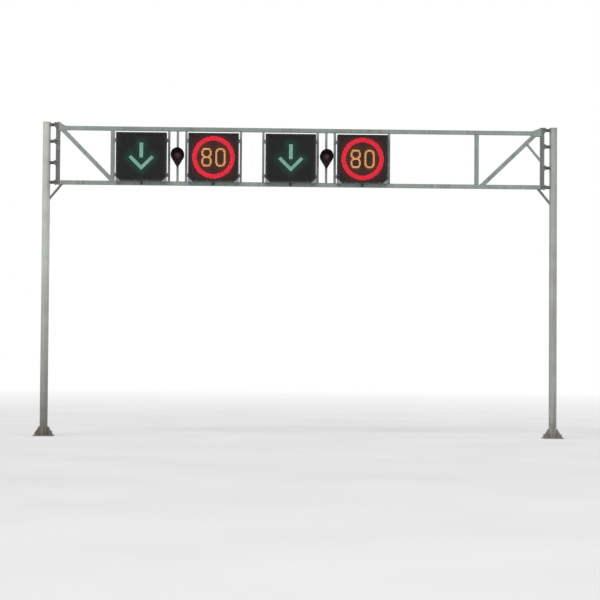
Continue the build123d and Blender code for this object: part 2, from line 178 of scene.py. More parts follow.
class Paint(Wiring):
    """A material's nodes, with the patterns that the finishes share."""

    def __init__(self, name: str) -> None:
        """Start an empty material that reads Object coordinates.

        Args:
            name: The material's name.
        """
        self.material = bpy.data.materials.new(name)
        self.material.use_nodes = True
        self.material.node_tree.nodes.clear()
        super().__init__(self.material.node_tree)
        self.place = self.node("ShaderNodeTexCoord").outputs["Object"]

    def noise(self, scale: float | Point, detail: float) -> Socket:
        """Cloudy pattern between 0 and 1.

        Args:
            scale: Its scale, or one for each axis.
            detail: How fine it gets.

        Returns:
            Its value.
        """
        place = self.place
        if isinstance(scale, tuple):
            place = self.node("ShaderNodeMapping", {"Vector": place, "Scale": scale}).outputs[0]
            scale = 1.0
        inputs = {"Vector": place, "Scale": scale, "Detail": detail}
        return self.node("ShaderNodeTexNoise", inputs).outputs[0]

    def crystals(self, scale: float) -> Socket:
        """A random grey for each crystal or lens."""
        cells = self.node("ShaderNodeTexVoronoi", {"Vector": self.place, "Scale": scale})
        return self.node("ShaderNodeSeparateColor", {"Color": cells.outputs["Color"]}).outputs[0]

    def upward(self, vector: Socket) -> Socket:
        """The Z of a vector."""
        return self.node("ShaderNodeSeparateXYZ", {"Vector": vector}).outputs[2]

    def band(self, value: Socket, low: float, high: float, start: float = 0.0, end: float = 1.0) -> Socket:
        """Run from start to end while the value runs from low to high."""
        inputs = {"Value": value, "From Min": low, "From Max": high, "To Min": start, "To Max": end}
        return self.node("ShaderNodeMapRange", inputs).outputs[0]

    def spread(self, noise: Socket, ends: Place) -> Socket:
        """Run from one value to the other over what a noise mostly takes."""
        return self.band(noise, *NOISE_SPAN, *ends)

    def patches(self, kind: Patches, most: float = 1.0, least: float = 0.0) -> Socket:
        """How much a surface is marked, from least beside the patches to most in them."""
        return self.band(self.noise(kind.scale, kind.detail), kind.starts, kind.full, least, most)

    def facing(self, looks: Place) -> Socket:
        """How much a face looks the given way, up or down, from 0 to 1."""
        return self.band(self.upward(self.node("ShaderNodeNewGeometry").outputs["Normal"]), *looks)

    def shaded(self, tone: Colour, shade: Socket) -> Socket:
        """A colour made lighter or darker by a pattern."""
        inputs = {"Vector": tone, "Scale": shade}
        return self.node("ShaderNodeVectorMath", inputs, operation="SCALE").outputs[0]

    def blend(self, factor: Socket, first: Socket, second: Colour) -> Socket:
        """Lay a plain colour over another by a pattern."""
        inputs = {0: factor, 6: first, 7: (*second, 1.0)}
        return self.node("ShaderNodeMix", inputs, data_type="RGBA").outputs[2]

    def nearest(self, spots: Sequence[Point]) -> Socket:
        """Distance to whichever of some places is nearest.

        Args:
            spots: The places.

        Returns:
            The distance.
        """
        least = None
        for spot in spots:
            apart = self.node("ShaderNodeVectorMath", {0: self.place, 1: spot}, operation="DISTANCE")
            gap = apart.outputs["Value"]
            least = gap if least is None else self.maths("MINIMUM", least, gap)
        return least

    def bump(self, height: Socket, depth: float, under: Socket | None = None) -> Socket:
        """Relief of a pattern.

        Args:
            height: The pattern.
            depth: How deep it is.
            under: Relief that it lies on, if any.

        Returns:
            The normal.
        """
        inputs = {"Height": height, "Distance": depth, "Strength": 1.0}
        if under is not None:
            inputs["Normal"] = under
        return self.node("ShaderNodeBump", inputs).outputs[0]

    def close(self, **inputs: Any) -> Material:
        """Join everything to the surface shader.

        Args:
            inputs: The shader's inputs, with underscores for the spaces in their names.

        Returns:
            The finished material.
        """
        named = {key.replace("_", " "): value for key, value in inputs.items()}
        shader = self.node("ShaderNodeBsdfPrincipled", named)
        self.node("ShaderNodeOutputMaterial", {"Surface": shader.outputs[0]})
        return self.material


class Finish:
    """A surface finish, whose material is made once."""

    name: str

    def paint(self, paint: Paint) -> Material:
        """Lay the finish into an empty material."""
        raise NotImplementedError

    def material(self) -> Material:
        """The finish's material."""
        return bpy.data.materials.get(self.name) or self.paint(Paint(self.name))


@dataclass(frozen=True)
class Galvanised(Finish):
    """Weathered zinc on steel: crystals, cloudy patches, rain streaks, dirt and a little rust."""

    name: str
    tone: Colour
    metallic: float = 0.30
    crystal_scale: float = 95.0
    streaks: float = 0.45
    rust: float = 0.25
    splash_height: float = 0.0
    film: float = 0.0
    film_height: float = 3.2
    chalk: float = 0.35
    soil: float = 0.80
    least_soil: float = 0.35
    ragged: float = 0.2
    cloud: Grain = (2.4, 6.0)
    cloud_weight: float = 2.0
    fine: Grain = (38.0, 5.0)
    edge: Grain = (5.0, 6.0)
    crystal_shade: Place = (0.93, 1.06)
    cloud_shade: Place = (0.86, 1.12)
    fine_shade: Place = (0.94, 1.05)
    dirt_span: Place = (0.35, 0.6)
    dirt_share: Place = (0.15, 0.55)
    uneven_span: Place = (0.6, 2.4)
    roughness: Place = (0.44, 0.62)
    crystal_relief: float = 0.00006
    fine_relief: float = 0.0006
    chalky: Patches = Patches(7.5, 6.0, 0.60, 0.74)
    rain: Patches = Patches((17.0, 17.0, 0.6), 5.0, 0.50, 0.74)
    bleeds: Patches = Patches((30.0, 30.0, 1.6), 4.0, 0.60, 0.72)
    specks: Patches = Patches(26.0, 8.0, 0.64, 0.74)
    spatter: Patches = Patches(11.0, 7.0, 0.35, 0.62)

    def paint(self, paint: Paint) -> Material:
        """Lay the finish into an empty material.

        Args:
            paint: The material's nodes.

        Returns:
            The material.
        """
        crystal = paint.crystals(self.crystal_scale)
        cloud = paint.noise(*self.cloud)
        fine = paint.noise(*self.fine)
        shade = paint.band(crystal, 0.0, 1.0, *self.crystal_shade)
        shade = paint.product(shade, paint.spread(cloud, self.cloud_shade))
        colour = paint.shaded(self.tone, paint.product(shade, paint.spread(fine, self.fine_shade)))
        colour = paint.blend(paint.patches(self.chalky, self.chalk), colour, CHALK)
        colour = paint.blend(paint.patches(self.rain, self.streaks), colour, GRIME)
        dirt = paint.product(paint.facing(LOOKS_UP), paint.band(fine, *self.dirt_span, *self.dirt_share))
        colour = paint.blend(dirt, colour, GRIME)
        rusty = paint.product(paint.patches(self.bleeds), paint.patches(self.specks, self.rust))
        colour = paint.blend(rusty, colour, RUST)
        if self.splash_height:
            colour = self.splashed(paint, colour)
        uneven = paint.total(crystal, paint.product(cloud, self.cloud_weight))
        rough = paint.band(uneven, *self.uneven_span, *self.roughness)
        relief = paint.bump(fine, self.fine_relief, paint.bump(crystal, self.crystal_relief))
        return paint.close(Base_Color=colour, Metallic=self.metallic, Roughness=rough, Normal=relief)

    def splashed(self, paint: Paint, colour: Socket) -> Socket:
        """Darken the foot, most at the ground and less upwards, and lay soil in patches lower down.

        Args:
            paint: The material's nodes.
            colour: The clean colour.

        Returns:
            The dirtied colour.
        """
        edge = paint.spread(paint.noise(*self.edge), (-self.ragged, self.ragged))
        height = paint.total(paint.upward(paint.place), edge)
        # The grime colour darkens the foot, most at the ground and fading upwards.
        colour = paint.blend(paint.band(height, 0.0, self.film_height, self.film, 0.0), colour, GRIME)
        splash = paint.band(height, 0.0, self.splash_height, self.soil, 0.0)
        patchy = paint.patches(self.spatter, 1.0, self.least_soil)
        return paint.blend(paint.product(splash, patchy), colour, SOIL)


@dataclass(frozen=True)
class PowderCoat(Finish):
    """Satin coat with an orange-peel skin, dust on its upper faces, painted light on its undersides and
    pale rain marks.
    """

    name: str
    tone: Colour
    roughness: Place = (0.43, 0.59)
    dust: float = 0.5
    film: float = 0.35
    rain_share: float = 0.10
    specular: float = 0.32
    cloud: Grain = (4.0, 6.0)
    cloud_shade: Place = (0.8, 1.25)
    settled: Grain = (16.0, 5.0)
    settled_share: Place = (0.3, 1.0)
    peel: Grain = (420.0, 2.0)
    peel_relief: float = 0.00012
    rain: Patches = Patches((26.0, 26.0, 0.9), 5.0, 0.55, 0.80)

    def paint(self, paint: Paint) -> Material:
        """Lay the finish into an empty material.

        Args:
            paint: The material's nodes.

        Returns:
            The material.
        """
        cloud = paint.noise(*self.cloud)
        colour = paint.shaded(self.tone, paint.spread(cloud, self.cloud_shade))
        colour = paint.blend(paint.patches(self.rain, self.rain_share * self.dust), colour, DUST)
        settled = paint.spread(paint.noise(*self.settled), self.settled_share)
        settled = paint.product(paint.facing(LOOKS_UP), settled)
        colour = paint.blend(paint.product(settled, self.dust), colour, DUST)
        # Painted light: faces that look down are lightened with the dust colour, standing in for light
        # bounced up from the road.
        colour = paint.blend(paint.product(paint.facing(LOOKS_DOWN), self.film), colour, DUST)
        return paint.close(
            Base_Color=colour,
            Roughness=paint.spread(cloud, self.roughness),
            Specular_IOR_Level=self.specular,
            Normal=paint.bump(paint.noise(*self.peel), self.peel_relief),
        )


@dataclass(frozen=True)
class DisplayBoard(Finish):
    """Matt black front of the display modules, with the light of the lit lenses painted on it as a glow."""

    name: str
    tone: Colour = (0.009, 0.010, 0.0098)
    roughness: Place = (0.62, 0.78)
    dust: float = 0.05
    specular: float = 0.2
    cloud: Grain = (9.0, 5.0)
    cloud_shade: Place = (0.8, 1.3)
    grain: Grain = (600.0, 2.0)
    grain_relief: float = 0.00015
    rain: Patches = Patches((34.0, 34.0, 1.4), 4.0, 0.56, 0.80)

    def paint(self, paint: Paint) -> Material:
        """Lay the finish into an empty material.

        Args:
            paint: The material's nodes.

        Returns:
            The material.
        """
        cloud = paint.noise(*self.cloud)
        colour = paint.shaded(self.tone, paint.spread(cloud, self.cloud_shade))
        return paint.close(
            Base_Color=paint.blend(paint.patches(self.rain, self.dust), colour, DUST),
            Roughness=paint.spread(cloud, self.roughness),
            Specular_IOR_Level=self.specular,
            Normal=paint.bump(paint.noise(*self.grain), self.grain_relief),
            # Painted light: the board gives out the spill attribute as a glow, standing in for the light
            # that the lit lenses throw on it.
            Emission_Color=paint.node("ShaderNodeAttribute", attribute_name=SPILL).outputs["Color"],
            Emission_Strength=1.0,
        )


@dataclass(frozen=True)
class Lens(Finish):
    """Small moulded lens of the display, dark or lit in one colour."""

    name: str
    tint: Tint | None = None
    cell_scale: float = 52.0
    smoke: Colour = (0.023, 0.0245, 0.024)
    smoke_shade: Place = (0.6, 1.5)
    smoke_roughness: Place = (0.28, 0.45)
    smoke_specular: float = 0.3
    light_shade: Place = (0.86, 1.12)
    light_roughness: float = 0.35
    strength: float = 2.0

    def paint(self, paint: Paint) -> Material:
        """Lay the finish into an empty material.

        Args:
            paint: The material's nodes.

        Returns:
            The material.
        """
        each = paint.crystals(self.cell_scale)
        if self.tint is None:
            return paint.close(
                Base_Color=paint.shaded(self.smoke, paint.band(each, 0.0, 1.0, *self.smoke_shade)),
                Roughness=paint.band(each, 0.0, 1.0, *self.smoke_roughness),
                Specular_IOR_Level=self.smoke_specular,
            )
        light = paint.shaded(self.tint.core, paint.band(each, 0.0, 1.0, *self.light_shade))
        return paint.close(
            Base_Color=light,
            Roughness=self.light_roughness,
            Emission_Color=light,
            Emission_Strength=self.strength,
        )


@dataclass(frozen=True)
class Moulded(Finish):
    """Moulded black plastic or rubber with a fine grain, a little faded on top."""

    name: str
    tone: Colour
    roughness: Place = (0.39, 0.55)
    specular: float = 0.35
    cloud: Grain = (12.0, 5.0)
    cloud_shade: Place = (0.75, 1.3)
    faded_share: Place = (0.2, 0.6)
    grain: Grain = (900.0, 2.0)
    grain_relief: float = 0.0001

    def paint(self, paint: Paint) -> Material:
        """Lay the finish into an empty material.

        Args:
            paint: The material's nodes.

        Returns:
            The material.
        """
        cloud = paint.noise(*self.cloud)
        colour = paint.shaded(self.tone, paint.spread(cloud, self.cloud_shade))
        faded = paint.product(paint.facing(LOOKS_UP), paint.spread(cloud, self.faded_share))
        return paint.close(
            Base_Color=paint.blend(faded, colour, FADED),
            Roughness=paint.spread(cloud, self.roughness),
            Specular_IOR_Level=self.specular,
            Normal=paint.bump(paint.noise(*self.grain), self.grain_relief),
        )


@dataclass(frozen=True)
class PrismLens(Finish):
    """Dark red signal lens with small prisms behind its skin, with a painted highlight over the lamp's own
    axis and painted shade from the visor towards its rim.
    """

    name: str
    axes: tuple[Point, ...]
    tone: Colour = (0.21, 0.042, 0.085)
    roughness: float = 0.25
    specular: float = 0.22
    prism_scale: float = 26.0
    prism_shade: Place = (0.55, 1.5)
    prism_relief: float = 0.0012
    pale_radius: float = 0.012
    dark_radius: float = 0.062
    dark_share: float = 0.10
    dust: float = 0.05
    dusty: Patches = Patches(14.0, 5.0, 0.50, 0.75)

    def paint(self, paint: Paint) -> Material:
        """Lay the finish into an empty material.

        Args:
            paint: The material's nodes.

        Returns:
            The material.
        """
        inputs = {"Vector": paint.place, "Scale": self.prism_scale}
        waves = [paint.node("ShaderNodeTexWave", inputs, bands_direction=way).outputs[1] for way in "XZ"]
        prisms = paint.product(*waves)
        # The lens is paler round each lamp's axis, where the reflector behind it shows, as a painted
        # highlight, and darker towards the rim as painted shade from the visor.
        away = paint.nearest(self.axes)
        shade = paint.band(away, self.pale_radius, self.dark_radius, 1.0, self.dark_share)
        shade = paint.product(shade, paint.band(prisms, 0.0, 1.0, *self.prism_shade))
        colour = paint.shaded(self.tone, shade)
        return paint.close(
            Base_Color=paint.blend(paint.patches(self.dusty, self.dust), colour, DUST),
            Roughness=self.roughness,
            Specular_IOR_Level=self.specular,
            Normal=paint.bump(prisms, self.prism_relief),
        )


# The posts are one galvanised steel in two tones: the left post, its foot and cap are painted lighter as
# painted light, the right ones darker as painted shade.
LIT_LEFT_POST = Galvanised(
    "galvanised left post", (0.50, 0.53, 0.48), streaks=0.22, splash_height=0.7, film=0.80, film_height=3.9
)
SHADED_RIGHT_POST = Galvanised(
    "galvanised right post", (0.35, 0.37, 0.34), streaks=0.35, splash_height=0.7, film=0.16
)
FRAME_STEEL = Galvanised("galvanised frame", (0.272, 0.322, 0.288), streaks=0.40)
# Painted shade: the end uprights and knee braces get a darker copy of the galvanised steel, standing in for
# shade.
SHADED_END_STEEL = Galvanised("dull galvanised end", (0.165, 0.18, 0.17), streaks=0.40)
# Painted shade: the arms and flanges get a darker copy of the galvanised steel, standing in for the shade
# that they lie in.
SHADED_ARM_STEEL = Galvanised("dark galvanised arm", (0.125, 0.13, 0.125), streaks=0.30)
BRACKET_ZINC = Galvanised("zinc plate", (0.215, 0.23, 0.24), metallic=0.40, streaks=0.20, rust=0.15)
FASTENER_ZINC = Galvanised(
    "zinc fastener", (0.40, 0.41, 0.40), metallic=0.60, crystal_scale=260.0, rust=0.6
)
WELD_METAL = Galvanised(
    "galvanised weld", (0.30, 0.32, 0.30), metallic=0.35, crystal_scale=300.0, rust=0.7
)
FOOT_FASTENER = replace(FASTENER_ZINC, name="splashed zinc fastener", splash_height=0.7, film=0.55)
FOOT_WELD = replace(WELD_METAL, name="splashed galvanised weld", splash_height=0.7, film=0.80)
CABINET_COAT = PowderCoat("satin black cabinet", (0.012, 0.013, 0.013))
BORDER_COAT = PowderCoat("matt black border", (0.009, 0.0098, 0.0096), (0.58, 0.74), dust=0.2)
BOARD = DisplayBoard("display board")
DARK_LENS = Lens("unlit lens")
LAMP_PLASTIC = Moulded("lamp plastic", (0.009, 0.004, 0.005), specular=0.14)
RUBBER = Moulded("black rubber", (0.014, 0.014, 0.014), (0.59, 0.75), grain=(500.0, 2.0))


@dataclass(frozen=True)
class Box:
    """Lowest and highest corner of a CAD node."""

    low: Vector
    high: Vector

    @classmethod
    def of(cls, node: str) -> "Box":
        """The box of a named node."""
        return cls(*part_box(node))

    @property
    def centre(self) -> Vector:
        """Middle of the box."""
        return (self.low + self.high) / 2

    @property
    def size(self) -> Vector:
        """Length of each side."""
        return self.high - self.low


def points_of(node: str) -> list[Vector]:
    """Every point of a CAD node's mesh."""
    return [vertex.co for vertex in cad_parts[node].data.vertices]


def steps_of(node: str, axis: int) -> list[float]:
    """Every value that one axis takes in a CAD node's mesh, to a tenth of a millimetre, in order."""
    return sorted({round(point[axis], DIGITS) for point in points_of(node)})


def dress(finish: Finish, *nodes: str) -> None:
    """Give CAD nodes' objects a finish.

    Args:
        finish: The finish.
        nodes: The nodes' names.
    """
    for node in nodes:
        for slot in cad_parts[node].material_slots:
            slot.material = finish.material()


def place_piece(name: str, mesh: Mesh, finish: Finish, slot: Slot) -> Piece:
    """Put a finished mesh into the scene as a piece of the gantry.

    Args:
        name: The piece's name.
        mesh: Its mesh, in the frame's own coordinates.
        finish: What it is finished with.
        slot: The record's slot that it belongs to; it is not used.

    Returns:
        The new object.
    """
    mesh.name = name
    mesh.materials.clear()
    mesh.materials.append(finish.material())
    made = bpy.data.objects.new(name, mesh)
    bpy.context.scene.collection.objects.link(made)
    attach(made, BODY)
    return made


def marks(spots: Iterable[Mark]) -> Mesh:
    """Loose points for a pattern to grow on.

    Args:
        spots: For each point its place and the way that it faces.

    Returns:
        A mesh of points with the facing as an attribute.
    """
    listed = list(spots)
    mesh = bpy.data.meshes.new("marks")
    mesh.from_pydata([spot for spot, _ in listed], [], [])
    facing = mesh.attributes.new(FACING, "FLOAT_VECTOR", "POINT")
    facing.data.foreach_set("vector", [part for _, way in listed for part in way])
    return mesh


def paths(runs: Iterable[Run]) -> Mesh:
    """Lines for a bead to follow.

    Args:
        runs: For each line its points and whether it closes on itself.

    Returns:
        A mesh of edges.
    """
    points: list[Point] = []
    edges: list[tuple[int, int]] = []
    for run, closed in runs:
        first = len(points)
        points.extend(run)
        edges.extend((first + step, first + step + 1) for step in range(len(run) - 1))
        if closed:
            edges.append((len(points) - 1, first))
    mesh = bpy.data.meshes.new("paths")
    mesh.from_pydata(points, edges, [])
    return mesh


class Pattern(Wiring):
    """A Geometry Nodes tree with named inputs, which ends in Realize Instances and Set Material."""

    def __init__(self, name: str) -> None:
        """Start the tree with its geometry and material inputs.

        Args:
            name: The tree's name.
        """
        tree = bpy.data.node_groups.new(name, "GeometryNodeTree")
        super().__init__(tree)
        for way in ("INPUT", "OUTPUT"):
            tree.interface.new_socket("Geometry", in_out=way, socket_type="NodeSocketGeometry")
        tree.interface.new_socket("Material", in_out="INPUT", socket_type="NodeSocketMaterial")
        self.entry = self.node("NodeGroupInput")
        self.points = self.entry.outputs["Geometry"]

    def asks(self, name: str, kind: str = "Float") -> Socket:
        """Add a named input and give its socket."""
        self.tree.interface.new_socket(name, in_out="INPUT", socket_type=f"NodeSocket{kind}")
        return self.entry.outputs[name]

    def facing(self) -> Socket:
        """The way that each mark faces."""
        named = {"Name": FACING}
        return self.node("GeometryNodeInputNamedAttribute", named, data_type="FLOAT_VECTOR").outputs[0]

    def vector(self, x: Amount = 0.0, y: Amount = 0.0, z: Amount = 0.0) -> Socket:
        """A vector from three values."""
        return self.node("ShaderNodeCombineXYZ", {0: x, 1: y, 2: z}).outputs[0]

    def moved(self, shape: Socket, **inputs: Socket) -> Socket:
        """A shape after a Translation or a Rotation."""
        return self.node("GeometryNodeTransform", {"Geometry": shape, **inputs}).outputs[0]

    def drum(self, sides: Amount, foot: Socket, head: Socket, depth: Socket, level: Amount) -> Socket:
        """A closed drum or cone that stands on a level.

        Args:
            sides: How many sides it has.
            foot: Radius at its foot.
            head: Radius at its head.
            depth: Its height.
            level: Height of its foot.

        Returns:
            Its geometry.
        """
        inputs = {"Vertices": sides, "Radius Bottom": foot, "Radius Top": head, "Depth": depth}
        cone = self.node("GeometryNodeMeshCone", inputs).outputs["Mesh"]
        return self.moved(cone, Translation=self.vector(z=level))

    def joined(self, *parts: Socket) -> Socket:
        """Several geometries as one.

        Args:
            parts: The geometries.

        Returns:
            All of them.
        """
        join = self.node("GeometryNodeJoinGeometry")
        for part in parts:
            self.tree.links.new(part, join.inputs[0])
        return join.outputs[0]

    def on_marks(self, shape: Socket, turned: Socket | Point) -> Tree:
        """End the tree with the shape set on each mark."""
        inputs = {"Points": self.points, "Instance": shape, "Rotation": turned}
        return self.close(self.node("GeometryNodeInstanceOnPoints", inputs).outputs[0])

    def close(self, shape: Socket) -> Tree:
        """End the tree: realize what is repeated and set its material.

        Args:
            shape: The geometry.

        Returns:
            The tree.
        """
        real = self.node("GeometryNodeRealizeInstances", {"Geometry": shape})
        inputs = {"Geometry": real.outputs[0], "Material": self.entry.outputs["Material"]}
        coloured = self.node("GeometryNodeSetMaterial", inputs)
        self.node("NodeGroupOutput", {"Geometry": coloured.outputs[0]})
        return self.tree


def fastener_tree() -> Tree:
    """Tree that sets a washer, a head with a chamfer and a stud end on each mark, turned at random.

    Returns:
        The tree.
    """
    washer_sides = 18
    washer_lip = 0.96
    straight = 0.86
    head_crown = 0.84
    stud_sides = 12
    stud_tip = 0.86
    make = Pattern("fasteners")
    sides = make.asks("Head Sides", "Int")
    head = make.asks("Head Radius")
    height = make.asks("Head Height")
    washer = make.asks("Washer Radius")
    sheet = make.asks("Washer Thickness")
    stud = make.asks("Stud Radius")
    stub = make.asks("Stud Length")
    seed = make.asks("Seed", "Int")
    wall = make.product(height, straight)
    crown = make.product(height, 1 - straight)
    parts = make.joined(
        make.drum(washer_sides, washer, make.product(washer, washer_lip), sheet, 0.0),
        make.drum(sides, head, head, wall, sheet),
        make.drum(sides, head, make.product(head, head_crown), crown, make.total(sheet, wall)),
        make.drum(stud_sides, stud, make.product(stud, stud_tip), stub, make.total(sheet, height)),
    )
    upright = make.node("FunctionNodeAlignRotationToVector", {"Vector": make.facing()}, axis="Z").outputs[0]
    turn = make.node("FunctionNodeRandomValue", {2: 0.0, 3: math.tau, "Seed": seed}).outputs[1]
    spin = make.node("FunctionNodeEulerToRotation", {0: make.vector(z=turn)}).outputs[0]
    both = {"Rotation": upright, "Rotate By": spin}
    turned = make.node("FunctionNodeRotateRotation", both, rotation_space="LOCAL").outputs[0]
    return make.on_marks(parts, turned)


def lens_tree() -> Tree:
    """Tree that sets a small tapered lens on each mark, looking towards the traffic.

    Returns:
        The tree.
    """
    sides = 8
    taper = 0.72
    make = Pattern("lenses")
    radius = make.asks("Lens Radius")
    depth = make.asks("Lens Depth")
    drum = make.drum(sides, radius, make.product(radius, taper), depth, 0.0)
    return make.on_marks(drum, (math.pi / 2, 0.0, 0.0))


def blade_tree() -> Tree:
    """Tree that hangs a thin sloped blade from each mark, out towards where the mark faces.

    Returns:
        The tree.
    """
    make = Pattern("blades")
    width = make.asks("Width")
    depth = make.asks("Depth")
    sheet = make.asks("Thickness")
    slope = make.asks("Slope")
    slab = make.node("GeometryNodeMeshCube", {"Size": make.vector(width, depth, sheet)}).outputs[0]
    out = make.moved(slab, Translation=make.vector(y=make.product(depth, 0.5)))
    hung = make.moved(out, Rotation=make.vector(x=slope))
    inputs = {"Vector": make.facing()}
    turned = make.node("FunctionNodeAlignRotationToVector", inputs, axis="Y", pivot_axis="Z").outputs[0]
    return make.on_marks(hung, turned)


def bead_tree() -> Tree:
    """Tree that runs a rippled round bead along each line.

    Returns:
        The tree.
    """
    sides = 6
    grain_scale = 120.0
    mean = (0.5, 0.5, 0.5)
    make = Pattern("beads")
    radius = make.asks("Bead Radius")
    step = make.asks("Bead Step")
    ripple = make.asks("Ripple")
    line = make.node("GeometryNodeMeshToCurve", {"Mesh": make.points}).outputs[0]
    even = make.node("GeometryNodeResampleCurve", {"Curve": line, "Length": step}, mode="LENGTH").outputs[0]
    ring = make.node("GeometryNodeCurvePrimitiveCircle", {"Resolution": sides, "Radius": radius}).outputs[0]
    swept = {"Curve": even, "Profile Curve": ring, "Fill Caps": True}
    bead = make.node("GeometryNodeCurveToMesh", swept).outputs[0]
    grain = make.node("ShaderNodeTexNoise", {"Scale": grain_scale, "Detail": 1.0}).outputs["Color"]
    centred = make.node("ShaderNodeVectorMath", {0: grain, 1: mean}, operation="SUBTRACT").outputs[0]
    shift = make.node("ShaderNodeVectorMath", {0: centred, "Scale": ripple}, operation="SCALE").outputs[0]
    return make.close(make.node("GeometryNodeSetPosition", {"Geometry": bead, "Offset": shift}).outputs[0])


FASTENERS = fastener_tree()
LENSES = lens_tree()
BLADES = blade_tree()
BEADS = bead_tree()


def grow(name: str, seed_mesh: Mesh, tree: Tree, finish: Finish, slot: Slot, **values: Any) -> Piece:
    """Run a tree on a mesh and place the result, as a plain mesh.

    Args:
        name: The piece's name.
        seed_mesh: The points or lines that it grows on.
        tree: The Geometry Nodes tree.
        finish: The finish that the tree sets.
        slot: The record's slot.
        values: The tree's named inputs, in small letters and with underscores for spaces.

    Returns:
        The piece.
    """
    holder = bpy.data.objects.new("holder", seed_mesh)
    bpy.context.scene.collection.objects.link(holder)
    modifier = holder.modifiers.new("pattern", "NODES")
    modifier.node_group = tree
    given = {key.replace("_", " ").title(): value for key, value in values.items()}
    given["Material"] = finish.material()
    for item in tree.interface.items_tree:
        if item.item_type == "SOCKET" and item.in_out == "INPUT" and item.name in given:
            modifier[item.identifier] = given[item.name]
    depsgraph = bpy.context.evaluated_depsgraph_get()
    grown = bpy.data.meshes.new_from_object(holder.evaluated_get(depsgraph))
    holder.modifiers.remove(modifier)
    bpy.data.objects.remove(holder)
    bpy.data.meshes.remove(seed_mesh)
    return place_piece(name, grown, finish, slot)


@dataclass(frozen=True)
class Bolt:
    """Sizes of one kind of bolt, nut or screw as it shows, named like the inputs of its tree."""

    head_radius: float
    head_height: float
    washer_radius: float
    washer_thickness: float
    stud_radius: float
    stud_length: float
    head_sides: int = 6

    def fasten(
        self, name: str, spots: Iterable[Mark], slot: Slot, seed: int, finish: Finish = FASTENER_ZINC
    ) -> Piece:
        """Set one on each spot, all as one piece.

        Args:
            name: The piece's name.
            spots: Places and facings.
            slot: The record's slot.
            seed: Seed for how each head is turned.
            finish: What they are finished with.

        Returns:
            The piece.
        """
        return grow(name, marks(spots), FASTENERS, finish, slot, seed=seed, **vars(self))


ANCHOR_NUT = Bolt(0.0235, 0.022, 0.029, 0.004, 0.0135, 0.048)
FLANGE_HEAD = Bolt(0.0135, 0.010, 0.0155, 0.003, 0.0080, 0.0010)
FLANGE_NUT = Bolt(0.0135, 0.013, 0.0155, 0.003, 0.0080, 0.012)
PLATE_BOLT = Bolt(0.0095, 0.007, 0.0125, 0.002, 0.0050, 0.0010)
PANEL_SCREW = Bolt(0.0048, 0.0026, 0.0060, 0.0008, 0.0020, 0.0002, head_sides=14)
SMALL_SCREW = Bolt(0.0034, 0.0022, 0.0042, 0.0006, 0.0015, 0.0002, head_sides=12)


@dataclass(frozen=True)
class Blade:
    """Sizes of one kind of thin sloped blade, named like the inputs of its tree."""

    width: float
    depth: float
    thickness: float
    slope: float

    def hang(self, name: str, spots: Iterable[Mark], finish: Finish, slot: Slot) -> Piece:
        """Hang one from each spot, all as one piece.

        Args:
            name: The piece's name.
            spots: Places and facings.
            finish: What they are finished with.
            slot: The record's slot.

        Returns:
            The piece.
        """
        return grow(name, marks(spots), BLADES, finish, slot, **vars(self))


def weld(name: str, runs: Iterable[Run], radius: float, slot: Slot, finish: Finish = WELD_METAL) -> Piece:
    """Weld beads along some lines, as one piece.

    Args:
        name: The piece's name.
        runs: The lines, each with whether it closes.
        radius: Half the bead's width.
        slot: The record's slot.
        finish: What the beads are finished with.

    Returns:
        The piece.
    """
    step = 2.6 * radius
    ripple = 0.5 * radius
    return grow(name, paths(runs), BEADS, finish, slot, bead_radius=radius, bead_step=step, ripple=ripple)


def circle(x: float, y: float, level: float, radius: float, steps: int = 48) -> list[Point]:
    """Points round a level circle."""
    turns = [math.tau * step / steps for step in range(steps)]
    return [(x + radius * math.cos(turn), y + radius * math.sin(turn), level) for turn in turns]


def level_outline(low: Vector, high: Vector, level: float) -> Run:
    """Rectangle round an upright tube at one height."""
    corners = ((low.x, low.y), (high.x, low.y), (high.x, high.y), (low.x, high.y))
    return [(x, y, level) for x, y in corners], True


def touching(node: str, level: float, slack: float = 0.002) -> tuple[Vector, Vector]:
    """Box of the part of a node's mesh that lies at one height.

    Args:
        node: The CAD node.
        level: The height.
        slack: How far from it still counts.

    Returns:
        Lowest and highest corner.
    """
    found = [point for point in points_of(node) if abs(point.z - level) < slack]
    return Vector(map(min, zip(*found))), Vector(map(max, zip(*found)))


def slab_mesh(xs: Sequence[float], zs: Sequence[float], front: float, back: float) -> Mesh:
    """Closed upright slab whose two broad sides are divided into cells.

    Args:
        xs: The cell edges along X.
        zs: The cell edges along Z.
        front: Y of the side towards the traffic.
        back: Y of the other side.

    Returns:
        The mesh, whose faces don't all look outwards yet.
    """
    wide = len(xs)
    tall = len(zs)
    rear = wide * tall
    faces = []
    for row in range(tall - 1):
        for low in range(row * wide, (row + 1) * wide - 1):
            loop = (low, low + 1, low + wide + 1, low + wide)
            faces += [loop, tuple(rear + corner for corner in reversed(loop))]
    rims = [(low, low + 1) for row in (0, tall - 1) for low in range(row * wide, (row + 1) * wide - 1)]
    rims += [(low, low + wide) for column in (0, wide - 1) for low in range(column, rear - wide, wide)]
    faces += [(first, second, rear + second, rear + first) for first, second in rims]
    mesh = bpy.data.meshes.new("slab")
    mesh.from_pydata([(x, y, z) for y in (front, back) for z in zs for x in xs], [], faces)
    return mesh


def lathe(profile: Sequence[Place], centre: Vector, steps: int = 56) -> Mesh:
    """Closed ring turned about a line along Y.

    Args:
        profile: Closed outline, each point as radius and distance in front of the centre, against Y.
        centre: A point on the axis.
        steps: How many segments it has.

    Returns:
        The mesh, whose faces don't all look outwards yet.
    """
    count = len(profile)
    points = []
    faces = []
    for step in range(steps):
        turn = math.tau * step / steps
        here = step * count
        there = (step + 1) % steps * count
        for index, (radius, ahead) in enumerate(profile):
            after = (index + 1) % count
            points.append(
                (centre.x + radius * math.cos(turn), centre.y - ahead, centre.z + radius * math.sin(turn))
            )
            faces.append((here + index, here + after, there + after, there + index))
    mesh = bpy.data.meshes.new("lathe")
    mesh.from_pydata(points, [], faces)
    return mesh


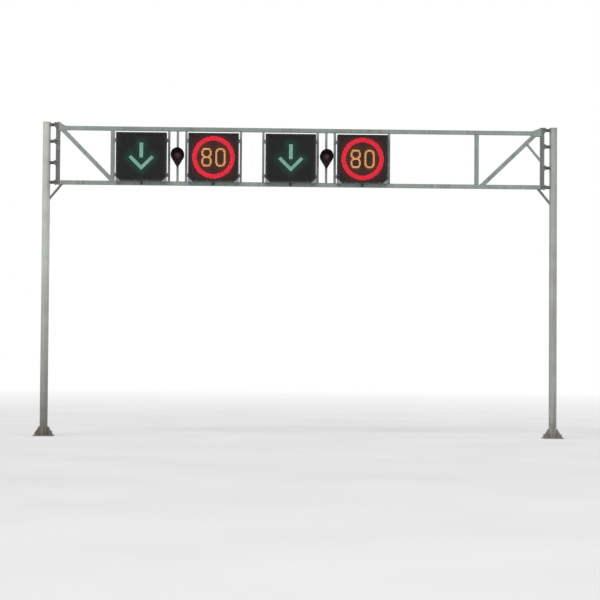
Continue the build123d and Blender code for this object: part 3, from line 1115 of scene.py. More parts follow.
def pin_mesh(foot: Vector, radius: float, length: float, sides: int = 14) -> Mesh:
    """Upright pin with a small chamfer at both ends.

    Args:
        foot: Centre of its lower end.
        radius: Its radius.
        length: Its length.
        sides: How many sides it has.

    Returns:
        The mesh.
    """
    chamfer = 0.15
    flat = 1e-6
    build = bmesh.new()
    middle = Matrix.Translation(foot + Vector(UP) * length / 2)
    bmesh.ops.create_cone(
        build, cap_ends=True, segments=sides, radius1=radius, radius2=radius, depth=length, matrix=middle
    )
    rims = [edge for edge in build.edges if abs(edge.verts[0].co.z - edge.verts[1].co.z) < flat]
    bmesh.ops.bevel(build, geom=rims, offset=radius * chamfer, segments=1, affect="EDGES")
    mesh = bpy.data.meshes.new("pin")
    build.to_mesh(mesh)
    build.free()
    return mesh


def fused(meshes: Iterable[Mesh]) -> Mesh:
    """Several meshes in one, with the faces turned outwards.

    Args:
        meshes: The meshes, which are used up.

    Returns:
        The new mesh.
    """
    build = bmesh.new()
    for mesh in meshes:
        build.from_mesh(mesh)
        bpy.data.meshes.remove(mesh)
    bmesh.ops.recalc_face_normals(build, faces=build.faces)
    joined = bpy.data.meshes.new("fused")
    build.to_mesh(joined)
    build.free()
    return joined


class Assembly:
    """A sub-assembly that dresses its CAD nodes and adds its own pieces."""

    def build(self) -> Iterator[Piece]:
        """Dress the nodes and yield each piece that is added."""
        raise NotImplementedError


@dataclass(frozen=True)
class PostEnd(Assembly):
    """One post with its foot, cap, arms and knee brace."""

    side: str
    steel: Finish
    anchor_inset: float = 0.050
    foot_bead: float = 0.0045
    arm_bead: float = 0.0036
    cap_bead: float = 0.003
    off_skin: float = 0.001
    sheet_half: float = 0.006
    blade_notch: float = 0.004
    shelf_half: float = 0.060
    shelf_steps: int = 6
    web_half: float = 0.005
    web_reach: float = 0.035
    bolt_out: float = 0.070
    bolt_up: float = 0.030

    @property
    def inward(self) -> int:
        """1 where the frame lies towards +X, else -1."""
        return 1 if self.side == "left" else -1

    def node(self, part: str) -> str:
        """Name of this end's node."""
        return f"{self.side}_{part}"

    def box(self, part: str) -> Box:
        """Box of one of this end's nodes."""
        return Box.of(self.node(part))

    def build(self) -> Iterator[Piece]:
        """Dress the post and its fittings.

        Yields:
            The nuts, bolts and welds that are added.
        """
        dress(self.steel, *map(self.node, ("post", "post_cap", "base_plate", "base_stiffeners")))
        dress(SHADED_ARM_STEEL, self.node("post_brackets"), self.node("frame_flanges"))
        dress(SHADED_END_STEEL, self.node("knee_brace"))
        yield self.anchor_nuts()
        yield weld(self.node("foot_welds"), self.foot_runs(), self.foot_bead, Slot.POST, FOOT_WELD)
        yield weld(self.node("cap_weld"), self.cap_runs(), self.cap_bead, Slot.POST)
        yield weld(self.node("arm_welds"), self.arm_runs(), self.arm_bead, Slot.POST)
        near, far = self.flange_faces()
        heads = self.joint_spots(near, -self.inward)
        nuts = self.joint_spots(far, self.inward)
        yield FLANGE_HEAD.fasten(self.node("joint_bolts"), heads, Slot.POST, seed=23)
        yield FLANGE_NUT.fasten(self.node("joint_nuts"), nuts, Slot.FRAME, seed=29)

    def anchor_nuts(self) -> Piece:
        """Nuts and stud ends on the base plate.

        Returns:
            The piece.
        """
        plate = self.box("base_plate")
        middle = plate.centre
        reach = plate.size.x / 2 - self.anchor_inset
        spots = [
            ((middle.x + dx * reach, middle.y + dy * reach, plate.high.z), UP) for dx in WAYS for dy in WAYS
        ]
        name = self.node("anchor_nuts")
        return ANCHOR_NUT.fasten(name, spots, Slot.POST, seed=11, finish=FOOT_FASTENER)

    def foot_runs(self) -> Iterator[Run]:
        """Lines of the welds at the foot.

        Yields:
            A ring round the post, then both sides of each stiffener.
        """
        post = self.box("post")
        blades = self.box("base_stiffeners")
        middle = post.centre
        radius = post.size.x / 2
        foot = blades.low.z
        yield circle(middle.x, middle.y, foot, radius + self.off_skin), True
        for quarter in range(4):
            turn = math.pi / 2 * quarter
            out = Vector((math.cos(turn), math.sin(turn), 0.0))
            across = Vector((-out.y, out.x, 0.0))
            for side in WAYS:
                edge = Vector((middle.x, middle.y, 0.0)) + across * side * self.sheet_half
                inner = edge + out * radius
                outer = edge + out * (blades.size.x / 2 - self.blade_notch)
                top = blades.high.z - self.blade_notch
                yield [(outer.x, outer.y, foot), (inner.x, inner.y, foot), (inner.x, inner.y, top)], False

    def cap_runs(self) -> list[Run]:
        """Line of the weld under the cap."""
        post = self.box("post")
        return [(circle(post.centre.x, post.centre.y, self.box("post_cap").low.z, post.size.x / 2), True)]

    def levels(self) -> list[float]:
        """Middle heights of the four joints, from the flanges' mesh."""
        heights = steps_of(self.node("frame_flanges"), 2)
        return [(low + high) / 2 for low, high in zip(heights[::2], heights[1::2])]

    def flange_faces(self) -> Place:
        """X of the two outer faces of a pair of flanges, the post's side first.

        Returns:
            Both values.
        """
        flanges = self.box("frame_flanges")
        inner, far = (flanges.low.x, flanges.high.x)[:: self.inward]
        return inner - self.inward * flanges.size.x, far

    def arm_runs(self) -> Iterator[Run]:
        """Lines of the welds where the arms' shelves and webs meet the post and their flanges.

        Yields:
            For each face of a shelf both its ends, then the ends of its web.
        """
        post = self.box("post")
        middle = post.centre.x
        radius = post.size.x / 2 + self.off_skin
        near = middle + self.inward * radius
        wall = self.flange_faces()[0]
        swing = math.asin(self.shelf_half / radius)
        turns = [swing * (step / self.shelf_steps - 1) for step in range(2 * self.shelf_steps + 1)]
        for level in self.levels():
            for side in WAYS:
                height = level + side * self.sheet_half
                yield [
                    (middle + self.inward * radius * math.cos(turn), radius * math.sin(turn), height)
                    for turn in turns
                ], False
                yield [(wall, -self.shelf_half, height), (wall, self.shelf_half, height)], False
                tip = level + side * self.web_reach
                for face in (-self.web_half, self.web_half):
                    for x in (near, wall):
                        yield [(x, face, height), (x, face, tip)], False

    def joint_spots(self, at: float, way: int) -> list[Mark]:
        """The four bolt places of every joint, on one face of the pair of flanges.

        Args:
            at: X of that face.
            way: The way that it faces along X.

        Returns:
            Places and facings.
        """
        return [
            ((at, side * self.bolt_out, level + rise * self.bolt_up), (float(way), 0.0, 0.0))
            for level in self.levels()
            for side in WAYS
            for rise in WAYS
        ]


@dataclass(frozen=True)
class PortalFrame(Assembly):
    """The welded frame of square tube with its rails and gussets."""

    bead: float = 0.0035
    rail_width: float = 0.050
    rail_match: float = 0.0002
    slack: float = 0.001

    def build(self) -> Iterator[Piece]:
        """Dress the frame.

        Yields:
            The welds that are added.
        """
        dress(FRAME_STEEL, "top_chord", "bottom_chord", "sign_rails", "lamp_uprights", "corner_gussets")
        dress(FRAME_STEEL, "right_end_strut")
        for side in ("left", "right"):
            dress(FRAME_STEEL, f"{side}_panel_upright", f"{side}_diagonal")
            dress(SHADED_END_STEEL, f"{side}_end_upright")
        yield weld("chord_welds", self.chord_runs(), self.bead, Slot.FRAME)
        yield weld("upright_welds", self.upright_runs(), self.bead, Slot.FRAME)
        yield weld("gusset_welds", self.gusset_runs(), self.bead, Slot.FRAME)

    def chord_runs(self) -> Iterator[Run]:
        """Lines of the welds round the chords' ends, on the end uprights.

        Yields:
            A line round each end.
        """
        for box in map(Box.of, ("top_chord", "bottom_chord")):
            for x in (box.low.x, box.high.x):
                corners = [(x, box.low.y, box.low.z), (x, box.high.y, box.low.z)]
                corners += [(x, box.high.y, box.high.z), (x, box.low.y, box.high.z)]
                yield corners, True

    def upright_runs(self) -> Iterator[Run]:
        """Lines of the welds between the chords and what stands between them.

        Yields:
            A line round the foot and the head of each upright, diagonal and rail.
        """
        levels = (Box.of("bottom_chord").high.z, Box.of("top_chord").low.z)
        for side in ("left", "right"):
            upright = Box.of(f"{side}_panel_upright")
            for level in levels:
                yield level_outline(upright.low, upright.high, level)
                yield level_outline(*touching(f"{side}_diagonal", level), level)
        for node in ("sign_rails", "lamp_uprights"):
            half = Vector((self.rail_width / 2, Box.of(node).size.y / 2, 0.0))
            for x in self.rail_places(node):
                middle = Vector((x, 0.0, 0.0))
                for level in levels:
                    yield level_outline(middle - half, middle + half, level)

    def rail_places(self, node: str) -> Iterator[float]:
        """Find the rails of a node from the edges that its mesh has.

        Args:
            node: The CAD node.

        Yields:
            X of each rail's axis.
        """
        edges = steps_of(node, 0)
        start = edges[0]
        for edge in edges:
            if edge - start > self.rail_width + self.slack:
                start = edge
            if abs(edge - start - self.rail_width) < self.rail_match:
                yield start + self.rail_width / 2

    def gusset_runs(self) -> Iterator[Run]:
        """Lines of the welds round the corner gussets, from the corners of their mesh.

        Yields:
            A line round each gusset, on both faces of the frame.
        """
        middle = Box.of("corner_gussets").centre.x
        front = Box.of("top_chord").low.y
        for way in WAYS:
            side = [point for point in points_of("corner_gussets") if (point.x - middle) * way > 0]
            for face in (front, -front):
                near = [point for point in side if abs(point.y - face) < self.slack]
                corners = sorted({(round(point.x, DIGITS), face, round(point.z, DIGITS)) for point in near})
                x, _, z = (sum(parts) / len(corners) for parts in zip(*corners))
                yield sorted(corners, key=lambda corner: math.atan2(corner[2] - z, corner[0] - x)), True


@dataclass(frozen=True)
class Bar:
    """Straight stroke with square ends on a display."""

    tint: Tint
    start: Place
    end: Place
    half_width: float

    def gap(self, x: float, z: float) -> float:
        """Measure how far a place lies from the stroke.

        Args:
            x: Its distance to the right of the display's middle.
            z: Its height over the display's middle.

        Returns:
            Distance outside the stroke's edge, negative inside it.
        """
        run = Vector(self.end) - Vector(self.start)
        off = Vector((x, z)) - (Vector(self.start) + Vector(self.end)) / 2
        along = abs(off.dot(run.normalized())) - run.length / 2
        across = abs(off.cross(run.normalized())) - self.half_width
        return math.hypot(max(along, 0.0), max(across, 0.0)) + min(max(along, across), 0.0)


@dataclass(frozen=True)
class Loop:
    """Closed stroke round a rectangle with rounded corners, or a circle where they take it all."""

    tint: Tint
    centre: Place
    half_size: Place
    corner: float
    half_width: float

    def gap(self, x: float, z: float) -> float:
        """Measure how far a place lies from the stroke.

        Args:
            x: Its distance to the right of the display's middle.
            z: Its height over the display's middle.

        Returns:
            Distance outside the stroke's edge, negative inside it.
        """
        dx = abs(x - self.centre[0]) - self.half_size[0] + self.corner
        dz = abs(z - self.centre[1]) - self.half_size[1] + self.corner
        outside = math.hypot(max(dx, 0.0), max(dz, 0.0)) + min(max(dx, dz), 0.0) - self.corner
        return abs(outside) - self.half_width


def lane_arrow() -> tuple[Bar | Loop, ...]:
    """Green arrow that points down at its lane.

    Returns:
        Its strokes, from the display's middle.
    """
    half = 0.0375
    shaft_top = 0.30
    shaft_foot = -0.015
    tip_fall = 0.236
    barb_reach = 0.242
    barb_rise = 0.008
    tip = Vector((0.0, -tip_fall))
    strokes = [Bar(Tint.GREEN, (0.0, shaft_top), (0.0, shaft_foot), half)]
    for side in WAYS:
        barb = Vector((side * barb_reach, barb_rise))
        past = tip + (tip - barb).normalized() * half
        strokes.append(Bar(Tint.GREEN, tuple(barb), tuple(past), half))
    return tuple(strokes)


def speed_eighty() -> tuple[Bar | Loop, ...]:
    """Red ring round the number 80.

    Returns:
        Its strokes, from the display's middle.
    """
    ring = 0.409
    ring_half = 0.048
    half = 0.020
    wide = 0.086
    tall = 0.1835
    waist = 0.008
    column = 0.150
    upper = (tall - waist) / 2
    lower = (tall + waist) / 2
    upper_corner = 0.072
    lower_corner = 0.074
    zero_corner = 0.080
    return (
        Loop(Tint.RED, (0.0, 0.0), (ring, ring), ring, ring_half),
        Loop(Tint.AMBER, (-column, waist + upper), (wide, upper), upper_corner, half),
        Loop(Tint.AMBER, (-column, waist - lower), (wide, lower), lower_corner, half),
        Loop(Tint.AMBER, (column, 0.0), (wide, tall), zero_corner, half),
    )


class Symbol(Enum):
    """What a display shows."""

    ARROW = "arrow"
    SPEED = "speed"

    def strokes(self) -> tuple[Bar | Loop, ...]:
        """The symbol's strokes."""
        return lane_arrow() if self is Symbol.ARROW else speed_eighty()


@dataclass(frozen=True)
class RearDoor(Assembly):
    """The fittings of the raised door in a cabinet's back."""

    cabinet: str
    left: float
    right: float
    bottom: float
    top: float
    rear: float
    gasket_width: float = 0.007
    gasket_depth: Place = (0.0045, 0.0018)
    hinge_shares: Sequence[float] = (0.12, 0.50, 0.88)
    leaf_half: float = 0.030
    leaf_reach: float = 0.022
    leaf_gap: float = 0.001
    leaf_depth: Place = (0.004, 0.003)
    knuckles: int = 5
    knuckle_radius: float = 0.0055
    knuckle_share: float = 0.95
    knuckle_out: float = 0.002
    lock_shares: Sequence[float] = (0.15, 0.50, 0.85)
    lock_inset: float = 0.030
    lock_steps: int = 32
    lock_profile: Sequence[Place] = (
        (0.0005, 0.0),
        (0.017, 0.0),
        (0.017, 0.003),
        (0.014, 0.005),
        (0.009, 0.005),
        (0.008, 0.002),
        (0.0005, 0.002),
    )
    vent: Blade = Blade(0.16, 0.011, 0.0014, math.radians(-42.0))
    vent_count: int = 7
    vent_pitch: float = 0.018
    vent_out: float = 0.22
    vent_foot: float = 0.06
    vent_head: float = 0.17

    def build(self) -> Iterator[Piece]:
        """Make the door's fittings.

        Yields:
            The gasket, the hinges, the locks and the hooded air slots.
        """
        name = f"{self.cabinet}_door"
        yield place_piece(f"{name}_gasket", fused(self.gasket()), RUBBER, Slot.CABINET)
        yield place_piece(f"{name}_hinges", fused(self.hinges()), CABINET_COAT, Slot.CABINET)
        yield place_piece(f"{name}_locks", fused(self.locks()), FASTENER_ZINC, Slot.CABINET)
        yield self.vent.hang(f"{name}_vents", self.vents(), CABINET_COAT, Slot.CABINET)

    def level(self, share: float) -> float:
        """Height at a share of the door's own height."""
        return self.bottom + share * (self.top - self.bottom)

    def gasket(self) -> list[Mesh]:
        """Rubber strip round the door.

        Returns:
            A bar along each edge.
        """
        wide = self.gasket_width
        outer = (self.left - wide, self.right + wide)
        inner = (self.bottom, self.top)
        bars = [(outer, (self.bottom - wide, self.bottom)), (outer, (self.top, self.top + wide))]
        bars += [((self.left - wide, self.left), inner), ((self.right, self.right + wide), inner)]
        front, back = (self.rear - depth for depth in self.gasket_depth)
        return [slab_mesh(xs, zs, front, back) for xs, zs in bars]

    def hinges(self) -> Iterator[Mesh]:
        """Hinges on the door's edge.

        Yields:
            Two leaves and the knuckles of each hinge.
        """
        sunk, proud = self.leaf_depth
        pitch = 2 * self.leaf_half / self.knuckles
        for share in self.hinge_shares:
            level = self.level(share)
            rise = (level - self.leaf_half, level + self.leaf_half)
            fixed = (self.left - self.leaf_reach, self.left - self.leaf_gap)
            swung = (self.left + self.leaf_gap, self.left + self.leaf_reach)
            yield slab_mesh(fixed, rise, self.rear - sunk, self.rear)
            yield slab_mesh(swung, rise, self.rear, self.rear + proud)
            for knuckle in range(self.knuckles):
                foot = Vector((self.left, self.rear + self.knuckle_out, rise[0] + knuckle * pitch))
                yield pin_mesh(foot, self.knuckle_radius, pitch * self.knuckle_share)

    def locks(self) -> list[Mesh]:
        """Round key locks on the door's other edge.

        Returns:
            A ring for each lock.
        """
        profile = [(radius, -out) for radius, out in self.lock_profile]
        x = self.right - self.lock_inset
        centres = [Vector((x, self.rear, self.level(share))) for share in self.lock_shares]
        return [lathe(profile, centre, self.lock_steps) for centre in centres]

    def vents(self) -> list[Mark]:
        """Places of the air slots' hoods, in two groups near the foot and two near the head.

        Returns:
            Places and facings.
        """
        middle = (self.left + self.right) / 2
        return [
            ((middle + side * self.vent_out, self.rear, level + step * self.vent_pitch), TO_REAR)
            for side in WAYS
            for level in (self.bottom + self.vent_foot, self.top - self.vent_head)
            for step in range(self.vent_count)
        ]


@dataclass(frozen=True)
class SignCabinet(Assembly):
    """A cabinet with its display, brackets and rear door."""

    name: str
    symbol: Symbol
    pitch: float = 0.020
    module: int = 16
    modules: int = 3
    lens_radius: float = 0.008
    lens_depth: float = 0.003
    louvre_depth: float = 0.0048
    louvre_thickness: float = 0.0007
    louvre_slope: float = math.radians(-10.0)
    louvre_rise: float = 0.0093
    board_thickness: float = 0.0015
    seam: float = 0.0008
    spill_level: float = 0.120
    bezel: float = 0.034
    bezel_gap: float = 0.001
    bezel_proud: float = 0.007
    screw_shares: Sequence[float] = (0.16, 0.39, 0.61, 0.84)
    plate: float = 0.006
    cradle_reaches: Sequence[float] = (0.018, 0.078)
    cradle_drop: float = 0.027
    clip_in: float = 0.022
    clip_up: float = 0.018
    lug_inset: float = 0.150
    lug_rise: float = 0.022
    lug_reach: float = 0.050
    lug_depth: float = 0.058
    door_margin: float = 0.080

    def build(self) -> Iterator[Piece]:
        """Dress the cabinet.

        Yields:
            Its display, screws, bolts and rear fittings.
        """
        dress(CABINET_COAT, f"{self.name}_housing")
        dress(BORDER_COAT, f"{self.name}_face")
        dress(BRACKET_ZINC, f"{self.name}_brackets")
        yield self.board()
        yield from self.lenses()
        yield self.louvres()
        screws = f"{self.name}_bezel_screws"
        bolts = f"{self.name}_bracket_bolts"
        yield PANEL_SCREW.fasten(screws, self.bezel_spots(), Slot.BRACKET, seed=31)
        yield PLATE_BOLT.fasten(bolts, self.bracket_spots(), Slot.BRACKET, seed=37)
        yield from self.door().build()

    @property
    def housing(self) -> Box:
        """Box of the cabinet with its hood and door."""
        return Box.of(f"{self.name}_housing")

    @property
    def face(self) -> Box:
        """Box of the flat panel in the cabinet's front."""
        return Box.of(f"{self.name}_face")

    @property
    def board_front(self) -> float:
        """Y of the front of the display boards."""
        return self.face.low.y - self.board_thickness

    @property
    def bezel_front(self) -> float:
        """Y of the front of the border round the display."""
        return self.face.low.y - self.bezel_proud

    @property
    def levels(self) -> Place:
        """Heights of the cabinet's underside and of its top below the hood."""
        border = self.bezel_gap + self.bezel
        return self.face.low.z - border, self.face.high.z + border

    def cells(self) -> list[float]:
        """Offsets of the lens rows and columns from the display's middle."""
        count = self.module * self.modules
        return [(index - (count - 1) / 2) * self.pitch for index in range(count)]

    def door(self) -> RearDoor:
        """The raised door in the cabinet's back.

        Returns:
            The door.
        """
        box = self.housing
        bottom, top = self.levels
        margin = self.door_margin
        sides = (box.low.x + margin, box.high.x - margin)
        return RearDoor(self.name, *sides, bottom + margin, top - margin, box.high.y)

    def spill(self, x: float, z: float) -> Colour:
        """Painted light that the lit lenses throw on the board, which the board gives out as a glow.

        Args:
            x: Distance to the right of the display's middle.
            z: Height over the display's middle.

        Returns:
            The light's colour there.
        """
        strongest: dict[Tint, float] = {}
        for stroke in self.symbol.strokes():
            gap = max(stroke.gap(x, z), 0.0)
            level = self.spill_level * math.exp(-((gap / stroke.tint.reach) ** 2))
            strongest[stroke.tint] = max(level, strongest.get(stroke.tint, 0.0))
        return tuple(sum(level * tint.halo[part] for tint, level in strongest.items()) for part in range(3))

    def module_edges(self, centre: float, index: int) -> list[float]:
        """Cell edges of a row or column of display modules, less the seams round them.

        Args:
            centre: The display's middle.
            index: Which row or column it is.

        Returns:
            The edges in order.
        """
        low = centre + (index - self.modules / 2) * self.module * self.pitch
        edges = [low + step * self.pitch for step in range(self.module + 1)]
        edges[0] += self.seam
        edges[-1] -= self.seam
        return edges

    def board(self) -> Piece:
        """Display modules side by side with open seams, with the painted glow of the lit lenses as an
        attribute.

        Returns:
            The piece.
        """
        middle = self.face.centre
        slabs = [
            slab_mesh(
                self.module_edges(middle.x, column),
                self.module_edges(middle.z, row),
                self.board_front,
                self.face.low.y,
            )
            for column in range(self.modules)
            for row in range(self.modules)
        ]
        mesh = fused(slabs)
        light = mesh.attributes.new(SPILL, "FLOAT_COLOR", "POINT")
        shades = [self.spill(v.co.x - middle.x, v.co.z - middle.z) for v in mesh.vertices]
        light.data.foreach_set("color", [part for shade in shades for part in (*shade, 1.0)])
        return place_piece(f"{self.name}_board", mesh, BOARD, Slot.DISPLAY)

    def lenses(self) -> Iterator[Piece]:
        """Set every lens of the display.

        Yields:
            One piece for each lit colour and one for the unlit lenses.
        """
        middle = self.face.centre
        groups: dict[Tint | None, list[Mark]] = {}
        for x in self.cells():
            for z in self.cells():
                lit = [stroke.tint for stroke in self.symbol.strokes() if stroke.gap(x, z) <= 0.0]
                spot = (middle.x + x, self.board_front, middle.z + z)
                groups.setdefault(lit[0] if lit else None, []).append((spot, TO_TRAFFIC))
        for tint, spots in groups.items():
            label = tint.name.lower() if tint else "unlit"
            finish = Lens(f"lit lens {label}", tint) if tint else DARK_LENS
            name = f"{self.name}_lenses_{label}"
            sizes = {"lens_radius": self.lens_radius, "lens_depth": self.lens_depth}
            yield grow(name, marks(spots), LENSES, finish, Slot.DISPLAY, **sizes)

    def louvres(self) -> Piece:
        """Thin sun blades over the rows of lenses, one a module wide.

        Returns:
            The piece.
        """
        side = self.module * self.pitch
        middle = self.face.centre
        columns = [middle.x + (index - (self.modules - 1) / 2) * side for index in range(self.modules)]
        rows = [middle.z + z + self.louvre_rise for z in self.cells()]
        spots = [((x, self.board_front, z), TO_TRAFFIC) for x in columns for z in rows]
        blade = Blade(side - 2 * self.seam, self.louvre_depth, self.louvre_thickness, self.louvre_slope)
        return blade.hang(f"{self.name}_louvres", spots, BORDER_COAT, Slot.DISPLAY)

    def bezel_spots(self) -> Iterator[Mark]:
        """Places of the screws round the cabinet's front edge.

        Yields:
            Places and facings.
        """
        box = self.housing
        inset = self.bezel / 2
        bottom, top = self.levels
        for share in self.screw_shares:
            x = box.low.x + share * box.size.x
            z = bottom + share * (top - bottom)
            for edge in (bottom + inset, top - inset):
                yield (x, self.bezel_front, edge), TO_TRAFFIC
            for edge in (box.low.x + inset, box.high.x - inset):
                yield (edge, self.bezel_front, z), TO_TRAFFIC

    def bracket_spots(self) -> Iterator[Mark]:
        """Places of the bolts through the cradles and the side lugs.

        Yields:
            Places and facings.
        """
        box = self.housing
        chord = Box.of("bottom_chord").low.y
        bottom, top = self.levels
        for edge, way in ((box.low.x, 1), (box.high.x, -1)):
            for reach in self.cradle_reaches:
                yield (edge + way * reach, chord - self.plate, bottom - self.cradle_drop), TO_TRAFFIC
            clip = (edge + way * self.clip_in, self.bezel_front - self.plate, bottom + self.clip_up)
            yield clip, TO_TRAFFIC
            for level in (bottom + self.lug_inset, top - self.lug_inset):
                for z in (level - self.lug_rise, level + self.lug_rise):
                    yield (edge - way * self.lug_reach, chord - self.plate, z), TO_TRAFFIC
                    yield (edge - way * self.plate, chord - self.lug_depth, z), (float(-way), 0.0, 0.0)


@dataclass(frozen=True)
class SignalLamps(Assembly):
    """The two round signal lamps with their visors and brackets."""

    visor_ring: Place = (0.126, 0.1405)
    visor_proud: float = 0.003
    lens_ring: Place = (0.0985, 0.108)
    lens_proud: float = 0.005
    ring_edge: float = 0.0012
    screw_circle: float = 0.1333
    screws: int = 8
    bracket_half: float = 0.030
    bolt_rise: float = 0.05
    bolt_depth: float = 0.018

    def build(self) -> Iterator[Piece]:
        """Dress the lamps.

        Yields:
            Their rings, screws and bolts.
        """
        dress(LAMP_PLASTIC, "lamp_heads", "lamp_visors")
        dress(PrismLens("signal lens", tuple(tuple(centre) for centre in self.centres())), "lamp_lenses")
        dress(BRACKET_ZINC, "lamp_brackets")
        yield place_piece("lamp_rings", fused(self.rings()), LAMP_PLASTIC, Slot.LAMP)
        yield SMALL_SCREW.fasten("lamp_ring_screws", self.screw_spots(), Slot.BRACKET, seed=41)
        yield PLATE_BOLT.fasten("lamp_bracket_bolts", self.bolt_spots(), Slot.BRACKET, seed=43)

    def centres(self) -> list[Vector]:
        """Centre of each lens on the front of its lamp head.

        Returns:
            The left lamp's, then the right lamp's.
        """
        lenses = Box.of("lamp_lenses")
        radius = lenses.size.z / 2
        front = Box.of("lamp_heads").low.y
        places = (lenses.low.x + radius, lenses.high.x - radius)
        return [Vector((x, front, lenses.centre.z)) for x in places]

    def rings(self) -> Iterator[Mesh]:
        """Retaining rings of the lenses and foot rings of the visors.

        Yields:
            Two rings for each lamp.
        """
        bevel = self.ring_edge
        kinds = ((*self.visor_ring, self.visor_proud), (*self.lens_ring, self.lens_proud))
        for centre in self.centres():
            for inner, outer, proud in kinds:
                profile = [(inner, 0.0), (inner, proud - bevel), (inner + bevel, proud)]
                profile += [(outer - bevel, proud), (outer, proud - bevel), (outer, 0.0)]
                yield lathe(profile, centre)

    def screw_spots(self) -> Iterator[Mark]:
        """Places of the screws round each visor's foot ring.

        Yields:
            Places and facings.
        """
        for centre in self.centres():
            for step in range(self.screws):
                turn = math.tau * (step + 0.5) / self.screws
                x = centre.x + self.screw_circle * math.cos(turn)
                z = centre.z + self.screw_circle * math.sin(turn)
                yield (x, centre.y - self.visor_proud, z), TO_TRAFFIC

    def bolt_spots(self) -> list[Mark]:
        """Places of the bolts through the sides of the lamp brackets.

        Returns:
            Places and facings.
        """
        y = Box.of("lamp_brackets").low.y + self.bolt_depth
        half = self.bracket_half
        return [
            ((centre.x + way * half, y, centre.z + rise * self.bolt_rise), (float(way), 0.0, 0.0))
            for centre in self.centres()
            for way in WAYS
            for rise in WAYS
        ]


@dataclass(frozen=True)
class Conduits(Assembly):
    """The short cable conduits under the cabinets."""

    def build(self) -> Iterator[Piece]:
        """Dress the conduits, which need no added piece."""
        dress(RUBBER, "sign_conduits")
        yield from ()


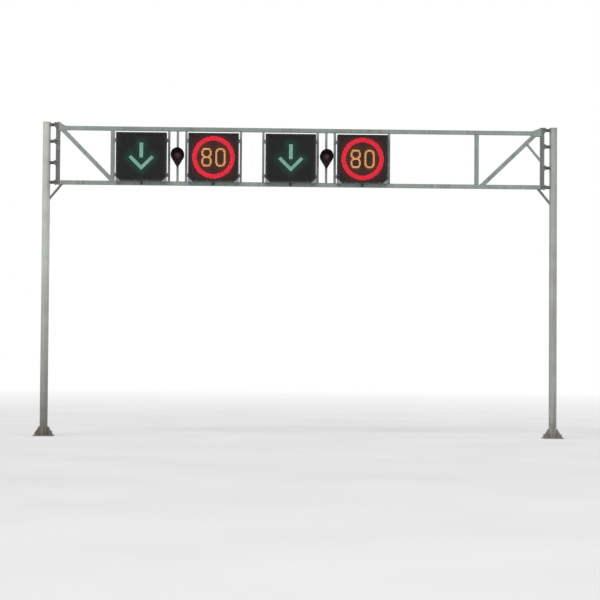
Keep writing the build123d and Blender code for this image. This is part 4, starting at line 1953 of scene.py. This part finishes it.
@dataclass(frozen=True)
class Studio:
    """Pale floor, plain light and the camera at the photograph's viewing angle."""

    eye: Point = (3.958, -40.0, 1.690)
    yaw: float = math.radians(2.200)
    pitch: float = math.radians(1.824)
    roll: float = 0.0070
    focal_pixels: float = 1850.4
    picture_width: float = 600.0
    sensor_width: float = 36.0
    far_clip: float = 900.0
    floor_radius: float = 420.0
    floor_tone: Colour = (0.80, 0.80, 0.80)
    floor_fade: Place = (14.0, 60.0)
    floor_sides: int = 96
    floor_cloud: Grain = (0.35, 4.0)
    floor_shade: Place = (0.97, 1.03)
    sky_light: float = 0.72
    backdrop: float = 1.0
    sun_strength: float = 1.1
    sun_angle: float = math.radians(25.0)
    sun_way: Point = (0.45, 0.75, -0.95)

    def build(self) -> None:
        """Make the camera, the light and the floor."""
        scene = bpy.context.scene
        scene.camera = self.camera()
        scene.world = self.world()
        floor = self.floor()
        for made in (scene.camera, self.sun(), floor):
            scene.collection.objects.link(made)

    def camera(self) -> bpy.types.Object:
        """Camera on the road, turned a little to the right and up.

        Returns:
            The camera.
        """
        level = Vector((math.cos(self.yaw), -math.sin(self.yaw), 0.0))
        ahead = Vector((math.sin(self.yaw), math.cos(self.yaw), math.tan(self.pitch))).normalized()
        up = level.cross(ahead)
        right = math.cos(self.roll) * level + math.sin(self.roll) * up
        top = math.cos(self.roll) * up - math.sin(self.roll) * level
        data = bpy.data.cameras.new("road camera")
        data.sensor_width = self.sensor_width
        data.lens = self.focal_pixels * self.sensor_width / self.picture_width
        data.clip_end = self.far_clip
        camera = bpy.data.objects.new("road camera", data)
        turn = Matrix((right, top, -ahead)).transposed()
        camera.matrix_world = Matrix.Translation(self.eye) @ turn.to_4x4()
        return camera

    def sun(self) -> bpy.types.Object:
        """One soft lamp from above and to the left of the road.

        Returns:
            The lamp.
        """
        data = bpy.data.lights.new("soft sun", "SUN")
        data.energy = self.sun_strength
        data.angle = self.sun_angle
        sun = bpy.data.objects.new("soft sun", data)
        sun.rotation_mode = "QUATERNION"
        sun.rotation_quaternion = Vector(self.sun_way).to_track_quat("-Z", "Y")
        return sun

    def world(self) -> bpy.types.World:
        """Even light from all round, and a white background for what looks at it.

        Returns:
            The world.
        """
        world = bpy.data.worlds.new("studio")
        world.use_nodes = True
        world.node_tree.nodes.clear()
        sky = Wiring(world.node_tree)
        light = sky.node("ShaderNodeBackground", {"Color": WHITE, "Strength": self.sky_light})
        seen = sky.node("ShaderNodeBackground", {"Color": WHITE, "Strength": self.backdrop})
        inputs = {0: sky.seen_directly(), 1: light.outputs[0], 2: seen.outputs[0]}
        mixed = sky.node("ShaderNodeMixShader", inputs)
        sky.node("ShaderNodeOutputWorld", {"Surface": mixed.outputs[0]})
        return world

    def floor(self) -> bpy.types.Object:
        """Round pale floor that fades into the white background far from the gantry.

        Returns:
            The floor.
        """
        mesh = bpy.data.meshes.new("floor")
        ring = circle(0.0, 0.0, 0.0, self.floor_radius, self.floor_sides)
        mesh.from_pydata(ring, [], [tuple(range(len(ring)))])
        paint = Paint("pale floor")
        away = paint.node("ShaderNodeVectorMath", {0: paint.place}, operation="LENGTH").outputs["Value"]
        shade = paint.spread(paint.noise(*self.floor_cloud), self.floor_shade)
        colour = paint.shaded(self.floor_tone, shade)
        matt = paint.node("ShaderNodeBsdfDiffuse", {"Color": colour})
        white = paint.node("ShaderNodeEmission", {"Color": WHITE, "Strength": self.backdrop})
        fade = paint.product(paint.band(away, *self.floor_fade), paint.seen_directly())
        mixed = paint.node("ShaderNodeMixShader", {0: fade, 1: matt.outputs[0], 2: white.outputs[0]})
        paint.node("ShaderNodeOutputMaterial", {"Surface": mixed.outputs[0]})
        mesh.materials.append(paint.material)
        return bpy.data.objects.new("floor", mesh)


def main() -> None:
    """Build the studio, dress every sub-assembly and report each piece."""
    logging.basicConfig(level=logging.INFO, format="%(message)s")
    bpy.context.scene.view_settings.view_transform = "Standard"
    Studio().build()
    assemblies: list[Assembly] = [
        PostEnd("left", LIT_LEFT_POST),
        PostEnd("right", SHADED_RIGHT_POST),
        PortalFrame(),
        SignCabinet("arrow_sign_1", Symbol.ARROW),
        SignCabinet("speed_sign_1", Symbol.SPEED),
        SignCabinet("arrow_sign_2", Symbol.ARROW),
        SignCabinet("speed_sign_2", Symbol.SPEED),
        Conduits(),
        SignalLamps(),
    ]
    total = 0
    for assembly in assemblies:
        for piece in assembly.build():
            piece.data.calc_loop_triangles()
            count = len(piece.data.loop_triangles)
            total += count
            log.info("%s: %d triangles", piece.name, count)
    log.info("added in all: %d triangles", total)


if __name__ == "__main__":
    main()
